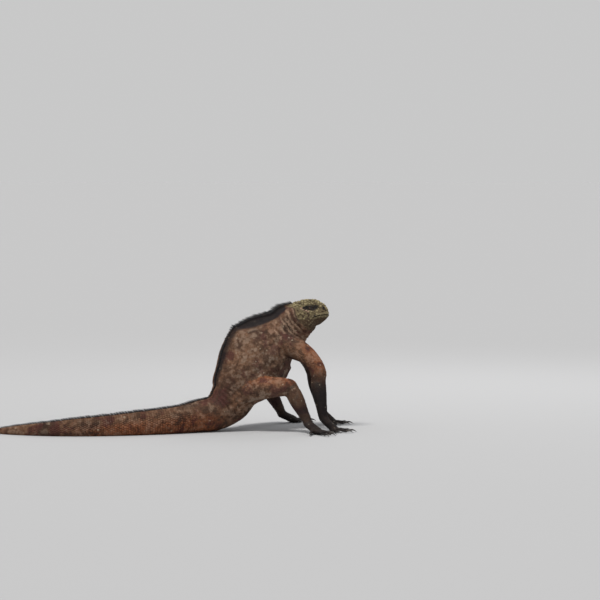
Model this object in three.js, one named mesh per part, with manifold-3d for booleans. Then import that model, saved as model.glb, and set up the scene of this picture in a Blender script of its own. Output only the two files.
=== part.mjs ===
// A marine iguana, life size, sitting up with its chest raised on straight arms, its head level and
// its tail laid on the floor behind it. Millimetres, +Z up. The snout points along +X and the
// animal's right side faces -Y. The origin is on the floor, at the centre of the animal's plan.

import * as THREE from "three";
import { mergeVertices } from "three/addons/utils/BufferGeometryUtils.js";
import Module from "manifold-3d";

const wasm = await Module();
wasm.setup();

// Gap between nodes that touch, and the slab under the floor that trims what would sink past it
const gap = 0.3;
const floorCut = { width: 1600, depth: 60 };

// Centre of the animal's plan in the coordinates of the stations, which the model is moved by
const planCentre = { x: -141.7, y: 18.8 };

// Stations down the body from snout to tail tip. Each has its centre, the side that the back faces,
// and the half width, the reach to the back and the reach to the belly.
const spineStations = [
  { name: "muzzle", at: [195, 17, 258.5], back: [0, 0, 1], half: [5, 4, 4] },
  { name: "lips", at: [192.8, 17, 258], back: [0, 0, 1], half: [12.5, 9.5, 9.5] },
  { name: "nose", at: [189.3, 17, 257.5], back: [-0.02, 0, 1], half: [16.5, 13.5, 14.5] },
  { name: "nostrils", at: [184.5, 17, 257.5], back: [-0.05, 0, 1], half: [19, 16, 20.5] },
  { name: "snout", at: [176.5, 18, 258], back: [-0.12, 0, 0.99], half: [21.5, 20.5, 28] },
  { name: "eyes", at: [163, 19, 259], back: [-0.22, -0.02, 0.98], half: [26, 26, 35.5] },
  { name: "cheeks", at: [148, 20, 254.5], back: [-0.4, -0.03, 0.91], half: [30.5, 31, 38] },
  { name: "jaw", at: [130, 22, 243], back: [-0.55, -0.05, 0.83], half: [32, 40, 42] },
  { name: "nape", at: [114.5, 23, 231], back: [-0.6, -0.08, 0.8], half: [34, 45.5, 48.5] },
  { name: "neck", at: [98, 23.5, 218], back: [-0.6, -0.12, 0.8], half: [42, 46.5, 53.5] },
  { name: "shoulders", at: [80, 21.5, 203], back: [-0.62, -0.17, 0.77], half: [52, 57.5, 57.5] },
  { name: "chest", at: [60, 17, 185], back: [-0.66, -0.26, 0.7], half: [61, 72, 71] },
  { name: "withers", at: [49.5, 12.5, 171.5], back: [-0.7, -0.34, 0.63], half: [65, 86, 75.5] },
  { name: "ribs", at: [38, 7, 156], back: [-0.73, -0.4, 0.55], half: [67, 87, 79] },
  { name: "belly", at: [15.5, -4, 121], back: [-0.73, -0.45, 0.5], half: [64, 80.5, 75] },
  { name: "loin", at: [-7, -14, 91], back: [-0.7, -0.47, 0.52], half: [51, 65, 54] },
  { name: "hips", at: [-26, -24, 66], back: [-0.6, -0.42, 0.66], half: [43, 48.5, 53] },
  { name: "vent", at: [-55, -37, 45.5], back: [-0.3, -0.24, 0.92], half: [37, 33, 45] },
  { name: "tailRoot", at: [-95, -60, 36.5], back: [-0.08, -0.1, 1], half: [29, 31, 37] },
  { name: "tail1", at: [-137, -84, 30.5], back: [0, 0, 1], half: [23, 27, 31.5] },
  { name: "tail2", at: [-184, -107, 27.5], back: [0, 0, 1], half: [19, 25, 28.5] },
  { name: "tail3", at: [-236, -127, 25], back: [0, 0, 1], half: [15.5, 23, 26] },
  { name: "tail4", at: [-291, -141, 22], back: [0, 0, 1], half: [12.5, 20.5, 23] },
  { name: "tail5", at: [-346, -147, 19.5], back: [0, 0, 1], half: [10, 18, 20.5] },
  { name: "tail6", at: [-401, -144, 16], back: [0, 0, 1], half: [8, 15, 17] },
  { name: "tail7", at: [-453, -131, 12.5], back: [0, 0, 1], half: [6.2, 11.8, 13.5] },
  { name: "tail8", at: [-500, -110, 8.5], back: [0, 0, 1], half: [4.4, 7.8, 9.5] },
  { name: "tailTip", at: [-538, -86, 4.2], back: [0, 0, 1], half: [2.2, 3.6, 5.2] },
];

// Where the body is parted, by station name, with the rings and sides of each length
const bodyLengths = [
  { node: "head", from: "muzzle", to: "nape", rings: 26, sides: 26 },
  { node: "neck", from: "nape", to: "shoulders", rings: 6, sides: 24 },
  { node: "torso", from: "shoulders", to: "hips", rings: 13, sides: 24 },
  { node: "tail_base", from: "hips", to: "tail2", rings: 11, sides: 18 },
  { node: "tail_middle", from: "tail2", to: "tail5", rings: 9, sides: 14 },
  { node: "tail_tip", from: "tail5", to: "tailTip", rings: 11, sides: 10 },
];

// Crest of flat spines along the back: pitch, height and length of foot at points of the body
const crestStations = [
  { from: "jaw", pitch: 5.4, tall: 8, foot: 3.2 },
  { from: "nape", pitch: 5.6, tall: 14.5, foot: 3.6 },
  { from: "neck", pitch: 6, tall: 12.5, foot: 4 },
  { from: "shoulders", pitch: 6.4, tall: 13, foot: 4.2 },
  { from: "chest", pitch: 7, tall: 12.5, foot: 4.4 },
  { from: "ribs", pitch: 7.6, tall: 9, foot: 4.5 },
  { from: "loin", pitch: 8, tall: 6.5, foot: 4.6 },
  { from: "vent", pitch: 8.4, tall: 7, foot: 4.8 },
  { from: "tail2", pitch: 9.2, tall: 8, foot: 5.2 },
  { from: "tail5", pitch: 9.2, tall: 7, foot: 5 },
  { from: "tail8", pitch: 8, tall: 4.5, foot: 4 },
];
const crest = { endsBefore: 14, thick: 1.5, sunk: 3.5, lean: 0.5, sides: 5, vary: 0.14 };
const backSamples = 1200;

// Eyes, nostrils, ears and mouth, by place along the head (0 muzzle, 1 nape) and angle from its top
const headEnd = "nape";
const headSquare = 2.5;
const eye = { along: 0.662, angle: 66, radius: 7.6, sunk: 4.6 };
const lid = { radius: 7.4, thick: 2, length: 1.12, height: 0.74, raised: 0.6 };
const nostril = { along: 0.37, angle: 52, radius: 2.1, rim: 1.1, depth: 5 };
const ear = { along: 0.82, angle: 84, radius: 11, dish: 1.6 };
const mouth = {
  level: 253,
  slope: 0.09,
  open: 0.9,
  deep: 2.4,
  corner: 163,
  front: 200,
  middle: 17,
  width: 90,
};
const headCones = {
  from: 8,
  rows: 8,
  rowPitch: 7.6,
  pitch: 8.8,
  radius: 5.6,
  tall: 4.2,
  sunk: 2,
  widest: 50,
  sides: 5,
  lean: 0.2,
};

// Limbs. Each segment has stations as the body has, with one half size for a round section.
const limbs = {
  right_arm: {
    upper: {
      node: "right_upper_arm",
      stations: [
        { at: [90, -4, 196], half: [20, 22] },
        { at: [116, -24, 184], half: [24, 26] },
        { at: [145, -40, 168], half: [20, 21] },
        { at: [165, -50, 146], half: [17.5, 18.5] },
        { at: [173, -55, 124], half: [17, 18] },
        { at: [173, -57, 109], half: [11, 12] },
      ],
    },
    lower: {
      node: "right_forearm",
      stations: [
        { at: [174, -54, 128], half: [13, 13] },
        { at: [172, -55, 111], half: [16, 17] },
        { at: [174, -57, 86], half: [15.5, 16.5] },
        { at: [179, -59, 56], half: [12.5, 12.5] },
        { at: [182, -60, 34], half: [11, 10.5] },
        { at: [184, -60.5, 25], half: [8, 7.5] },
      ],
    },
    paw: { node: "right_hand", wrist: [182, -60, 31], heading: -4, kind: "hand", side: -1 },
  },
  left_arm: {
    upper: {
      node: "left_upper_arm",
      stations: [
        { at: [90, 48, 196], half: [20, 22] },
        { at: [113, 68, 183], half: [24, 26] },
        { at: [138, 83, 165], half: [20, 21] },
        { at: [155, 93, 141], half: [17.5, 18.5] },
        { at: [163, 98, 121], half: [17, 18] },
        { at: [166, 101, 107], half: [11, 12] },
      ],
    },
    lower: {
      node: "left_forearm",
      stations: [
        { at: [163, 98, 125], half: [14, 14] },
        { at: [165, 99, 110], half: [17, 18] },
        { at: [170, 101, 85], half: [16.5, 17.5] },
        { at: [176, 103, 56], half: [12.5, 12.5] },
        { at: [180, 104, 34], half: [11, 10.5] },
        { at: [182, 104.5, 25], half: [8, 7.5] },
      ],
    },
    paw: { node: "left_hand", wrist: [180, 104, 31], heading: 14, kind: "hand", side: 1 },
  },
  right_leg: {
    upper: {
      node: "right_thigh",
      stations: [
        { at: [-16, -18, 86], half: [24, 24] },
        { at: [8, -34, 92], half: [28, 31] },
        { at: [40, -50, 96], half: [26, 27] },
        { at: [74, -63, 99], half: [22.5, 23] },
        { at: [100, -71, 100], half: [20, 20] },
        { at: [115, -75, 99], half: [17, 17] },
        { at: [125, -78, 97], half: [9, 9] },
      ],
    },
    lower: {
      node: "right_shin",
      stations: [
        { at: [107, -73, 104], half: [13, 13] },
        { at: [116, -75, 90], half: [18, 17] },
        { at: [126, -78, 70], half: [17.5, 17] },
        { at: [138, -81, 46], half: [13.5, 13] },
        { at: [148, -84, 27], half: [11, 10.5] },
        { at: [152, -85, 19], half: [8, 8] },
      ],
    },
    paw: { node: "right_foot", wrist: [148, -84, 22], heading: -50, kind: "foot", side: -1 },
  },
  left_leg: {
    upper: {
      node: "left_thigh",
      stations: [
        { at: [-12, 4, 82], half: [22, 22] },
        { at: [-10, 34, 90], half: [27, 30] },
        { at: [6, 64, 94], half: [26, 27] },
        { at: [27, 92, 97], half: [22.5, 23] },
        { at: [44, 112, 98], half: [20, 20] },
        { at: [54, 124, 97], half: [17, 17] },
        { at: [60, 132, 95], half: [9, 9] },
      ],
    },
    lower: {
      node: "left_shin",
      stations: [
        { at: [49, 118, 102], half: [13, 13] },
        { at: [56, 124, 89], half: [18, 17] },
        { at: [66, 130, 70], half: [17.5, 17] },
        { at: [79, 137, 46], half: [13.5, 13] },
        { at: [89, 142, 27], half: [11, 10.5] },
        { at: [93, 144, 19], half: [8, 8] },
      ],
    },
    paw: { node: "left_foot", wrist: [89, 142, 22], heading: 30, kind: "foot", side: 1 },
  },
};
const limbGrid = { sides: 14, rings: 8 };
const palmGrid = { sides: 10, rings: 5 };
const limbBack = [0.3, 0, 1];

// Digits from the inner to the outer one: turn from the heading in degrees, length to the claw
const pawShapes = {
  hand: {
    palm: { length: 27, halfWidth: 14.5, halfHeight: 8 },
    digits: [
      { turn: 58, reach: 17 },
      { turn: 27, reach: 27 },
      { turn: 2, reach: 33 },
      { turn: -22, reach: 32 },
      { turn: -52, reach: 21 },
    ],
  },
  foot: {
    palm: { length: 34, halfWidth: 15, halfHeight: 8.5 },
    digits: [
      { turn: 46, reach: 19 },
      { turn: 24, reach: 30 },
      { turn: 5, reach: 41 },
      { turn: -13, reach: 50 },
      { turn: -46, reach: 31 },
    ],
  },
};
const palmEnds = {
  behind: 5,
  behindRise: 3,
  behindHalf: [9, 8],
  wristHalf: [11.5, 10],
  knuckleDrop: 1.2,
  ahead: 7,
  aheadHeight: 4.5,
};
const palmMiddle = { height: 9, fall: 0.42, rise: 5 };
const digit = { radius: 4.6, tipRadius: 3.3, sides: 6, rings: 3, arch: 2.2, behind: 7, setBack: 1.6 };
const digitHeight = { start: 6.1, tip: 3 };
const claw = { radius: 2.6, length: 13, arch: 3, sides: 5, rings: 2, sunk: 4, rise: 1.6, tipHeight: 1.4 };

const colours = {
  hide: { color: 0x6b4c3a, roughness: 0.86, metalness: 0 },
  headHide: { color: 0x7d7355, roughness: 0.84, metalness: 0 },
  limbHide: { color: 0x7a4a33, roughness: 0.86, metalness: 0 },
  eyeball: { color: 0x2a1a12, roughness: 0.2, metalness: 0 },
};

const { degToRad: radians, radToDeg: degreesOf, smoothstep: smoothStep, lerp, mapLinear } = THREE.MathUtils;
const random = seededRandom(7);

function seededRandom(seed) {
  let state = seed;
  return () => {
    state = (state * 1664525 + 1013904223) % 4294967296;
    return state / 4294967296;
  };
}

// Solids from three.js geometry and back

function toSolid(geometry) {
  const bare = geometry.clone();
  bare.deleteAttribute("normal");
  bare.deleteAttribute("uv");
  const merged = mergeVertices(bare, 1e-4);
  const triVerts = new Uint32Array(merged.index.array);
  const mesh = () =>
    new wasm.Mesh({ numProp: 3, vertProperties: merged.attributes.position.array, triVerts });
  const solid = new wasm.Manifold(mesh());
  if (solid.volume() > 0) return solid;
  for (let i = 0; i < triVerts.length; i += 3) {
    [triVerts[i + 1], triVerts[i + 2]] = [triVerts[i + 2], triVerts[i + 1]];
  }
  return new wasm.Manifold(mesh());
}

function toGeometry(solid) {
  const { vertProperties, triVerts, numProp } = solid.getMesh();
  const points = new Float32Array((vertProperties.length / numProp) * 3);
  for (let i = 0; i < points.length / 3; i++) {
    for (let k = 0; k < 3; k++) points[i * 3 + k] = vertProperties[i * numProp + k];
  }
  const geometry = new THREE.BufferGeometry();
  geometry.setAttribute("position", new THREE.BufferAttribute(points, 3));
  geometry.setIndex(new THREE.BufferAttribute(new Uint32Array(triVerts), 1));
  geometry.computeVertexNormals();
  return geometry;
}

function placed(geometry, matrix) {
  return toSolid(geometry.clone().applyMatrix4(matrix));
}

const joined = (solid, pieces) => pieces.reduce((whole, piece) => whole.add(piece), solid);

function largestBody(solid) {
  return solid.decompose().reduce((best, body) => (body.volume() > best.volume() ? body : best));
}

const floorSlab = toSolid(
  new THREE.BoxGeometry(floorCut.width, floorCut.width, floorCut.depth).translate(
    0, 0, -floorCut.depth / 2,
  ),
);

// A smooth tube through stations: one curve carries the centres and others the half sizes and back

class Tube {
  constructor(stations) {
    const curveOf = (read) => {
      const points = stations.map((s) => new THREE.Vector3(...read(s)));
      return new THREE.CatmullRomCurve3(points, false, "catmullrom", 0.5);
    };
    this.count = stations.length - 1;
    this.names = stations.map((s) => s.name);
    this.centres = curveOf((s) => s.at);
    this.halves = curveOf((s) => (s.half.length === 3 ? s.half : [s.half[0], s.half[1], s.half[1]]));
    this.backs = curveOf((s) => s.back ?? limbBack);
    this.centres.arcLengthDivisions = 600;
  }

  at(name) {
    return this.names.indexOf(name) / this.count;
  }

  frame(t) {
    const centre = this.centres.getPoint(t);
    const tangent = this.centres.getTangent(t);
    const back = this.backs.getPoint(t);
    back.addScaledVector(tangent, -back.dot(tangent)).normalize();
    const side = new THREE.Vector3().crossVectors(tangent, back);
    return { centre, tangent, back, side, half: this.halves.getPoint(t) };
  }

  // The point at t, angle from the back, and reach 0 at the axis to 1 on the skin, grown outwards
  point(t, angle, reach = 1, grown = 0, square = 2) {
    const { centre, back, side, half } = this.frame(t);
    const power = 2 / square;
    const across = Math.sign(Math.sin(angle)) * Math.abs(Math.sin(angle)) ** power;
    const up = Math.sign(Math.cos(angle)) * Math.abs(Math.cos(angle)) ** power;
    const tall = up > 0 ? half.y : half.z;
    return centre
      .addScaledVector(side, across * (half.x + grown) * reach)
      .addScaledVector(back, up * (tall + grown) * reach);
  }
}

// Bends a cylinder's grid of vertices into the shape that place(along, angle, reach) gives
function sweep(sides, rings, place) {
  const grid = new THREE.CylinderGeometry(1, 1, 1, sides, rings);
  const position = grid.attributes.position;
  const v = new THREE.Vector3();
  for (let i = 0; i < position.count; i++) {
    v.fromBufferAttribute(position, i);
    const reach = Math.round(Math.hypot(v.x, v.z));
    const angle = reach ? Math.atan2(v.x, v.z) : 0;
    position.setXYZ(i, ...place(v.y + 0.5, angle, reach).toArray());
  }
  return toSolid(grid);
}

// A tube between two points of the body, each end a flat face set back by the trim
function tubeLength({ place, ends, trims, sides, rings }) {
  const [from, to] = ends;
  return sweep(sides, rings, (along, angle, reach) => {
    const point = place(lerp(from, to, along), angle, reach);
    if (along === 0) point.addScaledVector(spine.frame(from).tangent, trims[0]);
    if (along === 1) point.addScaledVector(spine.frame(to).tangent, -trims[1]);
    return point;
  });
}

// Body

const spine = new Tube(spineStations);
const smoothBump = (x, middle, width) => Math.exp(-(((x - middle) / width) ** 2));

// How far the head stands out from its plain tube, in mm: brows, eye hollows, jaw muscles, lips
function headRelief(along, degrees) {
  const side = Math.abs(degrees);
  const brow = 3 * smoothBump(along, eye.along, 0.12) * smoothBump(side, 42, 11);
  const socket = -4 * smoothBump(along, eye.along, 0.09) * smoothBump(side, eye.angle + 2, 15);
  const jawMuscle = 3.4 * smoothBump(along, 0.81, 0.12) * smoothBump(side, 112, 26);
  const lips = 1.1 * smoothBump(along, 0.48, 0.18) * smoothBump(side, 98, 18);
  const underJaw = -1 * smoothBump(along, 0.6, 0.18) * smoothBump(side, 138, 20);
  const snoutTop = -1.2 * smoothBump(along, 0.5, 0.08) * smoothBump(side, 0, 40);
  return brow + socket + jawMuscle + lips + underJaw + snoutTop;
}

function headPoint(along, angle, reach, grown = 0) {
  const t = along * spine.at(headEnd);
  const square = 2 + (headSquare - 2) * (1 - smoothStep(along, 0.8, 1));
  const fade = smoothStep(along, 0, 0.12) * (1 - smoothStep(along, 0.9, 1));
  const relief = headRelief(along, degreesOf(angle)) * fade;
  return spine.point(t, angle, reach, relief + grown, square);
}

// A matrix that stands a piece made along +Y on the head's skin, pointing straight out
function onHead(along, degrees, sunk, lean = 0) {
  const angle = radians(degrees);
  const root = headPoint(along, angle, 1);
  const ahead = headPoint(along - 0.02, angle, 1).sub(root).normalize();
  const round = headPoint(along, angle + 0.06, 1).sub(root).normalize();
  const out = new THREE.Vector3().crossVectors(ahead, round).normalize();
  const axis = spine.frame(along * spine.at(headEnd)).centre;
  if (out.dot(root.clone().sub(axis)) < 0) out.negate();
  out.addScaledVector(ahead, -lean).normalize();
  const across = new THREE.Vector3().crossVectors(out, ahead).normalize();
  const forward = new THREE.Vector3().crossVectors(across, out);
  return new THREE.Matrix4()
    .makeBasis(forward, out, across)
    .setPosition(root.addScaledVector(out, -sunk));
}

function lids(sideSign) {
  const ring = new THREE.TorusGeometry(lid.radius, lid.thick, 5, 16)
    .rotateX(Math.PI / 2)
    .scale(lid.length, 1, lid.height);
  return placed(ring, onHead(eye.along, eye.angle * sideSign, -lid.raised));
}

function eyeball(sideSign, grown = 0) {
  const ball = new THREE.SphereGeometry(eye.radius + grown, 14, 8);
  return placed(ball, onHead(eye.along, eye.angle * sideSign, eye.sunk));
}

function nostrilPieces(sideSign) {
  const stand = onHead(nostril.along, nostril.angle * sideSign, 0);
  const rimRadius = nostril.radius + 0.8 * nostril.rim;
  const rim = new THREE.TorusGeometry(rimRadius, nostril.rim, 5, 9).rotateX(Math.PI / 2);
  const bore = new THREE.CylinderGeometry(nostril.radius, nostril.radius * 0.5, nostril.depth, 8);
  return { rim: placed(rim, stand), bore: placed(bore, stand) };
}

function earDish(sideSign) {
  const dish = new THREE.SphereGeometry(ear.radius, 16, 10);
  return placed(dish, onHead(ear.along, ear.angle * sideSign, ear.dish - ear.radius));
}

// The line of the mouth: a thin plate round the muzzle that cuts only as deep as the lips
function mouthCut() {
  const length = mouth.front - mouth.corner;
  const plate = new THREE.BoxGeometry(length, mouth.width, mouth.open)
    .rotateY(-mouth.slope)
    .translate((mouth.front + mouth.corner) / 2, mouth.middle, mouth.level);
  const core = sweep(28, 16, (along, angle, reach) =>
    headPoint(lerp(0.035, 1, along), angle, reach, -mouth.deep),
  );
  return toSolid(plate).subtract(core);
}

function coneOnHead(along, degrees, size) {
  const tall = headCones.tall * size + headCones.sunk;
  const cone = new THREE.ConeGeometry(headCones.radius * size, tall, headCones.sides);
  const stand = onHead(along, degrees, headCones.sunk, headCones.lean);
  return placed(cone.translate(0, tall / 2, 0), stand);
}

// Pyramid scales in staggered rows over the crown, largest between the nostrils and the eyes
function crownCones() {
  const cones = [];
  for (let row = 0; row < headCones.rows; row++) {
    const along = alongHead(headCones.from + row * headCones.rowPitch);
    const halfWidth = spine.frame(along * spine.at(headEnd)).half.x;
    const step = degreesOf(headCones.pitch / halfWidth);
    const most = Math.floor(headCones.widest / step);
    for (let k = -most - (row % 2) / 2; k <= most + 0.5; k++) {
      const degrees = k * step;
      const nearMiddle = 1 - 0.35 * (degrees / headCones.widest) ** 2;
      const nearSnout = 1.06 - 0.4 * smoothStep(along, 0.55, 1);
      const size = nearMiddle * nearSnout * (0.92 + 0.16 * random());
      if (clearOfEyesAndNose(along, degrees)) cones.push(coneOnHead(along, degrees, size));
    }
  }
  return cones;
}

// The place along the head, 0 to 1, of a point that many millimetres behind the muzzle
const alongHead = (distance) =>
  spine.centres.getUtoTmapping(distance / spine.centres.getLength()) / spine.at(headEnd);

function clearOfEyesAndNose(along, degrees) {
  const nearEye = Math.abs(along - eye.along) < 0.14 && Math.abs(degrees) > eye.angle - 22;
  const fromNose = Math.abs(Math.abs(degrees) - nostril.angle);
  const nearNose = Math.abs(along - nostril.along) < 0.09 && fromNose < 24;
  return !nearEye && !nearNose;
}

// The line of the back, sampled with its length from the muzzle
const backLine = [];
for (let i = 0; i <= backSamples; i++) {
  const t = i / backSamples;
  const point = spine.point(t, 0);
  const before = backLine[i - 1];
  backLine.push({ t, point, length: before ? before.length + point.distanceTo(before.point) : 0 });
}
const backLengthAt = (t) => backLine[Math.round(t * backSamples)].length;
const backPlaceAt = (length) => backLine.find((mark) => mark.length >= length).t;

function crestValue(length, key) {
  const marks = crestStations.map((s) => ({ length: backLengthAt(spine.at(s.from)), value: s[key] }));
  const next = marks.findIndex((mark) => mark.length > length);
  if (next < 0) return marks[marks.length - 1].value;
  if (next === 0) return marks[0].value;
  const [a, b] = [marks[next - 1], marks[next]];
  return mapLinear(length, a.length, b.length, a.value, b.value);
}

// One flat spine of the crest, standing on the line of the back and leaning towards the tail
function crestSpine(t, tall, foot) {
  const root = spine.point(t, 0);
  const along = spine.point(t + 1 / backSamples, 0).sub(root).normalize();
  const { side } = spine.frame(t);
  side.addScaledVector(along, -side.dot(along)).normalize();
  const out = new THREE.Vector3().crossVectors(side, along);
  const lean = out.clone().addScaledVector(along, crest.lean).normalize();
  const footLine = new THREE.Vector3().crossVectors(lean, side);
  const length = tall + crest.sunk;
  const cone = new THREE.ConeGeometry(1, length, crest.sides);
  cone.translate(0, length / 2 - crest.sunk, 0);
  const matrix = new THREE.Matrix4()
    .makeBasis(footLine.multiplyScalar(foot), lean, side.clone().multiplyScalar(crest.thick))
    .setPosition(root);
  return placed(cone, matrix);
}

// Every spine between two stations of the body, each rooted clear of the cuts between nodes
function crestBetween(from, to) {
  const [start, end] = [from, to].map((name) => backLengthAt(spine.at(name)));
  const last = backLine[backSamples].length - crest.endsBefore;
  const spines = [];
  let length = backLengthAt(spine.at(crestStations[0].from));
  while (length < last) {
    const foot = crestValue(length, "foot");
    const tall = crestValue(length, "tall") * (1 + crest.vary * (2 * random() - 1));
    const clearOfCuts = length - foot > start && length + foot < end;
    if (clearOfCuts) spines.push(crestSpine(backPlaceAt(length), tall, foot));
    length += crestValue(length, "pitch");
  }
  return spines;
}

// The flesh of one length of the body; a grown one, used only to cut others, has no trim
function bodyFlesh(length, grown = 0) {
  const trim = grown ? 0 : gap / 2;
  const isHead = length.node === "head";
  return tubeLength({
    place: (t, angle, reach) =>
      isHead
        ? headPoint(t / spine.at(headEnd), angle, reach)
        : spine.point(t, angle, reach, grown),
    ends: [spine.at(length.from), spine.at(length.to)],
    trims: [isHead ? 0 : trim, length.to === "tailTip" ? 0 : trim],
    sides: length.sides,
    rings: length.rings,
  });
}

function makeHead(length) {
  const sides = [-1, 1];
  const noses = sides.map(nostrilPieces);
  const raised = [...sides.map(lids), ...noses.map((n) => n.rim), ...crownCones()];
  let head = joined(bodyFlesh(length), [...raised, ...crestBetween("jaw", headEnd)]);
  for (const sideSign of sides) {
    head = head.subtract(eyeball(sideSign, gap)).subtract(earDish(sideSign));
  }
  for (const nose of noses) head = head.subtract(nose.bore);
  return largestBody(head.subtract(mouthCut()));
}

// A length of the body with its crest, whose spines are cut clear of the lengths before and after
function makeBodyLength(length, index) {
  const neighbours = [bodyLengths[index - 1], bodyLengths[index + 1]].filter((other) => other);
  const spines = crestBetween(length.from, length.to);
  let crestSolid = joined(spines[0], spines.slice(1));
  for (const other of neighbours) crestSolid = crestSolid.subtract(bodyFlesh(other, gap));
  return largestBody(bodyFlesh(length).add(crestSolid).subtract(floorSlab));
}

// Limbs

function limbSegment(stations, grown = 0) {
  const tube = new Tube(stations);
  return sweep(limbGrid.sides, limbGrid.rings, (along, angle, reach) =>
    tube.point(along, angle, reach, grown),
  );
}

// A tube from start to end in a plane with up, whose radius and rise follow functions of 0 to 1
function archedTube({ start, end, radius, rise, sides, rings }) {
  const axis = end.clone().sub(start);
  const forward = axis.clone().normalize();
  const side = new THREE.Vector3(0, 0, 1).cross(forward).normalize();
  const up = forward.clone().cross(side);
  return sweep(sides, rings, (along, angle, reach) => {
    const r = radius(along) * reach;
    return start
      .clone()
      .addScaledVector(axis, along)
      .addScaledVector(side, Math.sin(angle) * r)
      .addScaledVector(up, Math.cos(angle) * r + rise(along));
  });
}

// Radius that tapers between two values and closes round over the last fifth
function roundedEnd(along, from, to) {
  const closing = Math.max(0, (along - 0.8) / 0.2);
  return lerp(from, to, along) * Math.sqrt(1 - 0.9 * closing ** 2);
}

function clawSolid(tip, forward, scale) {
  const start = tip.clone().addScaledVector(forward, -claw.sunk);
  const end = tip.clone().addScaledVector(forward, claw.length * scale).setZ(claw.tipHeight);
  return archedTube({
    start,
    end,
    radius: (along) => claw.radius * scale * (1 - 0.88 * along),
    rise: (along) => claw.arch * Math.sin(Math.PI * along),
    sides: claw.sides,
    rings: claw.rings,
  });
}

function digitSolids(knuckle, heading, reach) {
  const forward = new THREE.Vector3(Math.cos(heading), Math.sin(heading), 0);
  const start = knuckle.clone().addScaledVector(forward, -digit.behind).setZ(digitHeight.start);
  const tip = knuckle.clone().addScaledVector(forward, reach).setZ(digitHeight.tip);
  const toe = archedTube({
    start,
    end: tip,
    radius: (along) => roundedEnd(along, digit.radius, digit.tipRadius),
    rise: (along) => digit.arch * Math.sin(Math.PI * along),
    sides: digit.sides,
    rings: digit.rings,
  });
  const clawRoot = tip.clone().setZ(tip.z + claw.rise);
  const clawScale = 0.85 + reach / 160;
  return [toe, clawSolid(clawRoot, forward, clawScale)];
}

function makePaw({ wrist, heading, kind, side }) {
  const { palm, digits } = pawShapes[kind];
  const angle = radians(heading);
  const forward = new THREE.Vector3(Math.cos(angle), Math.sin(angle), 0);
  const across = new THREE.Vector3(-Math.sin(angle), Math.cos(angle), 0);
  const root = new THREE.Vector3(...wrist);
  const knuckleHeight = palm.halfHeight - palmEnds.knuckleDrop;
  const middleHeight = root.z * palmMiddle.fall + palmMiddle.rise;
  const behind = root.clone().addScaledVector(forward, -palmEnds.behind);
  behind.z += palmEnds.behindRise;
  const knuckles = root.clone().addScaledVector(forward, palm.length).setZ(knuckleHeight);
  const middle = root.clone().lerp(knuckles, 0.5).setZ(middleHeight);
  const ahead = knuckles.clone().addScaledVector(forward, palmEnds.ahead);
  const palmTube = new Tube([
    { at: behind.toArray(), half: palmEnds.behindHalf },
    { at: root.toArray(), half: palmEnds.wristHalf },
    { at: middle.toArray(), half: [palm.halfWidth * 0.9, palmMiddle.height] },
    { at: knuckles.toArray(), half: [palm.halfWidth, palm.halfHeight] },
    { at: ahead.toArray(), half: [palm.halfWidth * 0.6, palmEnds.aheadHeight] },
  ]);
  const body = sweep(palmGrid.sides, palmGrid.rings, (along, turn, reach) =>
    palmTube.point(along, turn, reach),
  );
  const pieces = digits.flatMap(({ turn, reach }, index) => {
    const spread = ((index - 2) / 2) * (palm.halfWidth - digit.radius) * side;
    const setBack = (index - 2) ** 2 * digit.setBack;
    const knuckle = knuckles.clone().addScaledVector(across, spread);
    knuckle.addScaledVector(forward, -setBack);
    return digitSolids(knuckle, angle - radians(turn) * side, reach);
  });
  return joined(body, pieces);
}

// Each part of a limb is cut back from the part it grows from, so that they meet face to face
function makeLimb({ upper, lower, paw }, trunk) {
  const upperFlesh = limbSegment(upper.stations);
  const lowerFlesh = limbSegment(lower.stations);
  const upperGrown = limbSegment(upper.stations, gap);
  const lowerGrown = limbSegment(lower.stations, gap);
  return [
    { node: upper.node, solid: upperFlesh.subtract(trunk) },
    { node: lower.node, solid: lowerFlesh.subtract(upperGrown) },
    { node: paw.node, solid: makePaw(paw).subtract(lowerGrown) },
  ].map(({ node, solid }) => ({ node, solid: largestBody(solid.subtract(floorSlab)) }));
}

// The model

const model = new THREE.Group();
model.position.set(-planCentre.x, -planCentre.y, 0);

function addNode(name, solid, finish) {
  const mesh = new THREE.Mesh(toGeometry(solid), new THREE.MeshStandardMaterial(colours[finish]));
  mesh.name = name;
  model.add(mesh);
}

bodyLengths.forEach((length, index) => {
  if (length.node === "head") addNode("head", makeHead(length), "headHide");
  else addNode(length.node, makeBodyLength(length, index), "hide");
});
addNode("right_eye", eyeball(-1), "eyeball");
addNode("left_eye", eyeball(1), "eyeball");

const trunk = joined(
  bodyFlesh(bodyLengths[1], gap),
  bodyLengths.slice(2, 4).map((length) => bodyFlesh(length, gap)),
);
for (const limb of Object.values(limbs)) {
  for (const { node, solid } of makeLimb(limb, trunk)) addNode(node, solid, "limbHide");
}

export default model;
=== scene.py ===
import math
import bmesh
import bpy
import numpy as np
from mathutils import Matrix, Vector, kdtree
from mathutils.bvhtree import BVHTree


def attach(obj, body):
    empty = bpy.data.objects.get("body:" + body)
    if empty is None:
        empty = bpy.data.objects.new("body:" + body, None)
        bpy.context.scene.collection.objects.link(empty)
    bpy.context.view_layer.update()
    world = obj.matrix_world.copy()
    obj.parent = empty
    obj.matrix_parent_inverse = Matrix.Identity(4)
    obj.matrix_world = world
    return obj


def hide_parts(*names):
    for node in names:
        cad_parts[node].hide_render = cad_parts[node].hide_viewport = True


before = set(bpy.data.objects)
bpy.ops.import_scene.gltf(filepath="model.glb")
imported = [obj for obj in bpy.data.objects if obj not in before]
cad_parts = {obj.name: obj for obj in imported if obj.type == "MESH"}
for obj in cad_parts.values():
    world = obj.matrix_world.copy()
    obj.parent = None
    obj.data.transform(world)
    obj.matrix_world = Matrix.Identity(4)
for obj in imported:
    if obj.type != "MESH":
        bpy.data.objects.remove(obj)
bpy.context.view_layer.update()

rng = np.random.default_rng(11)
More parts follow.
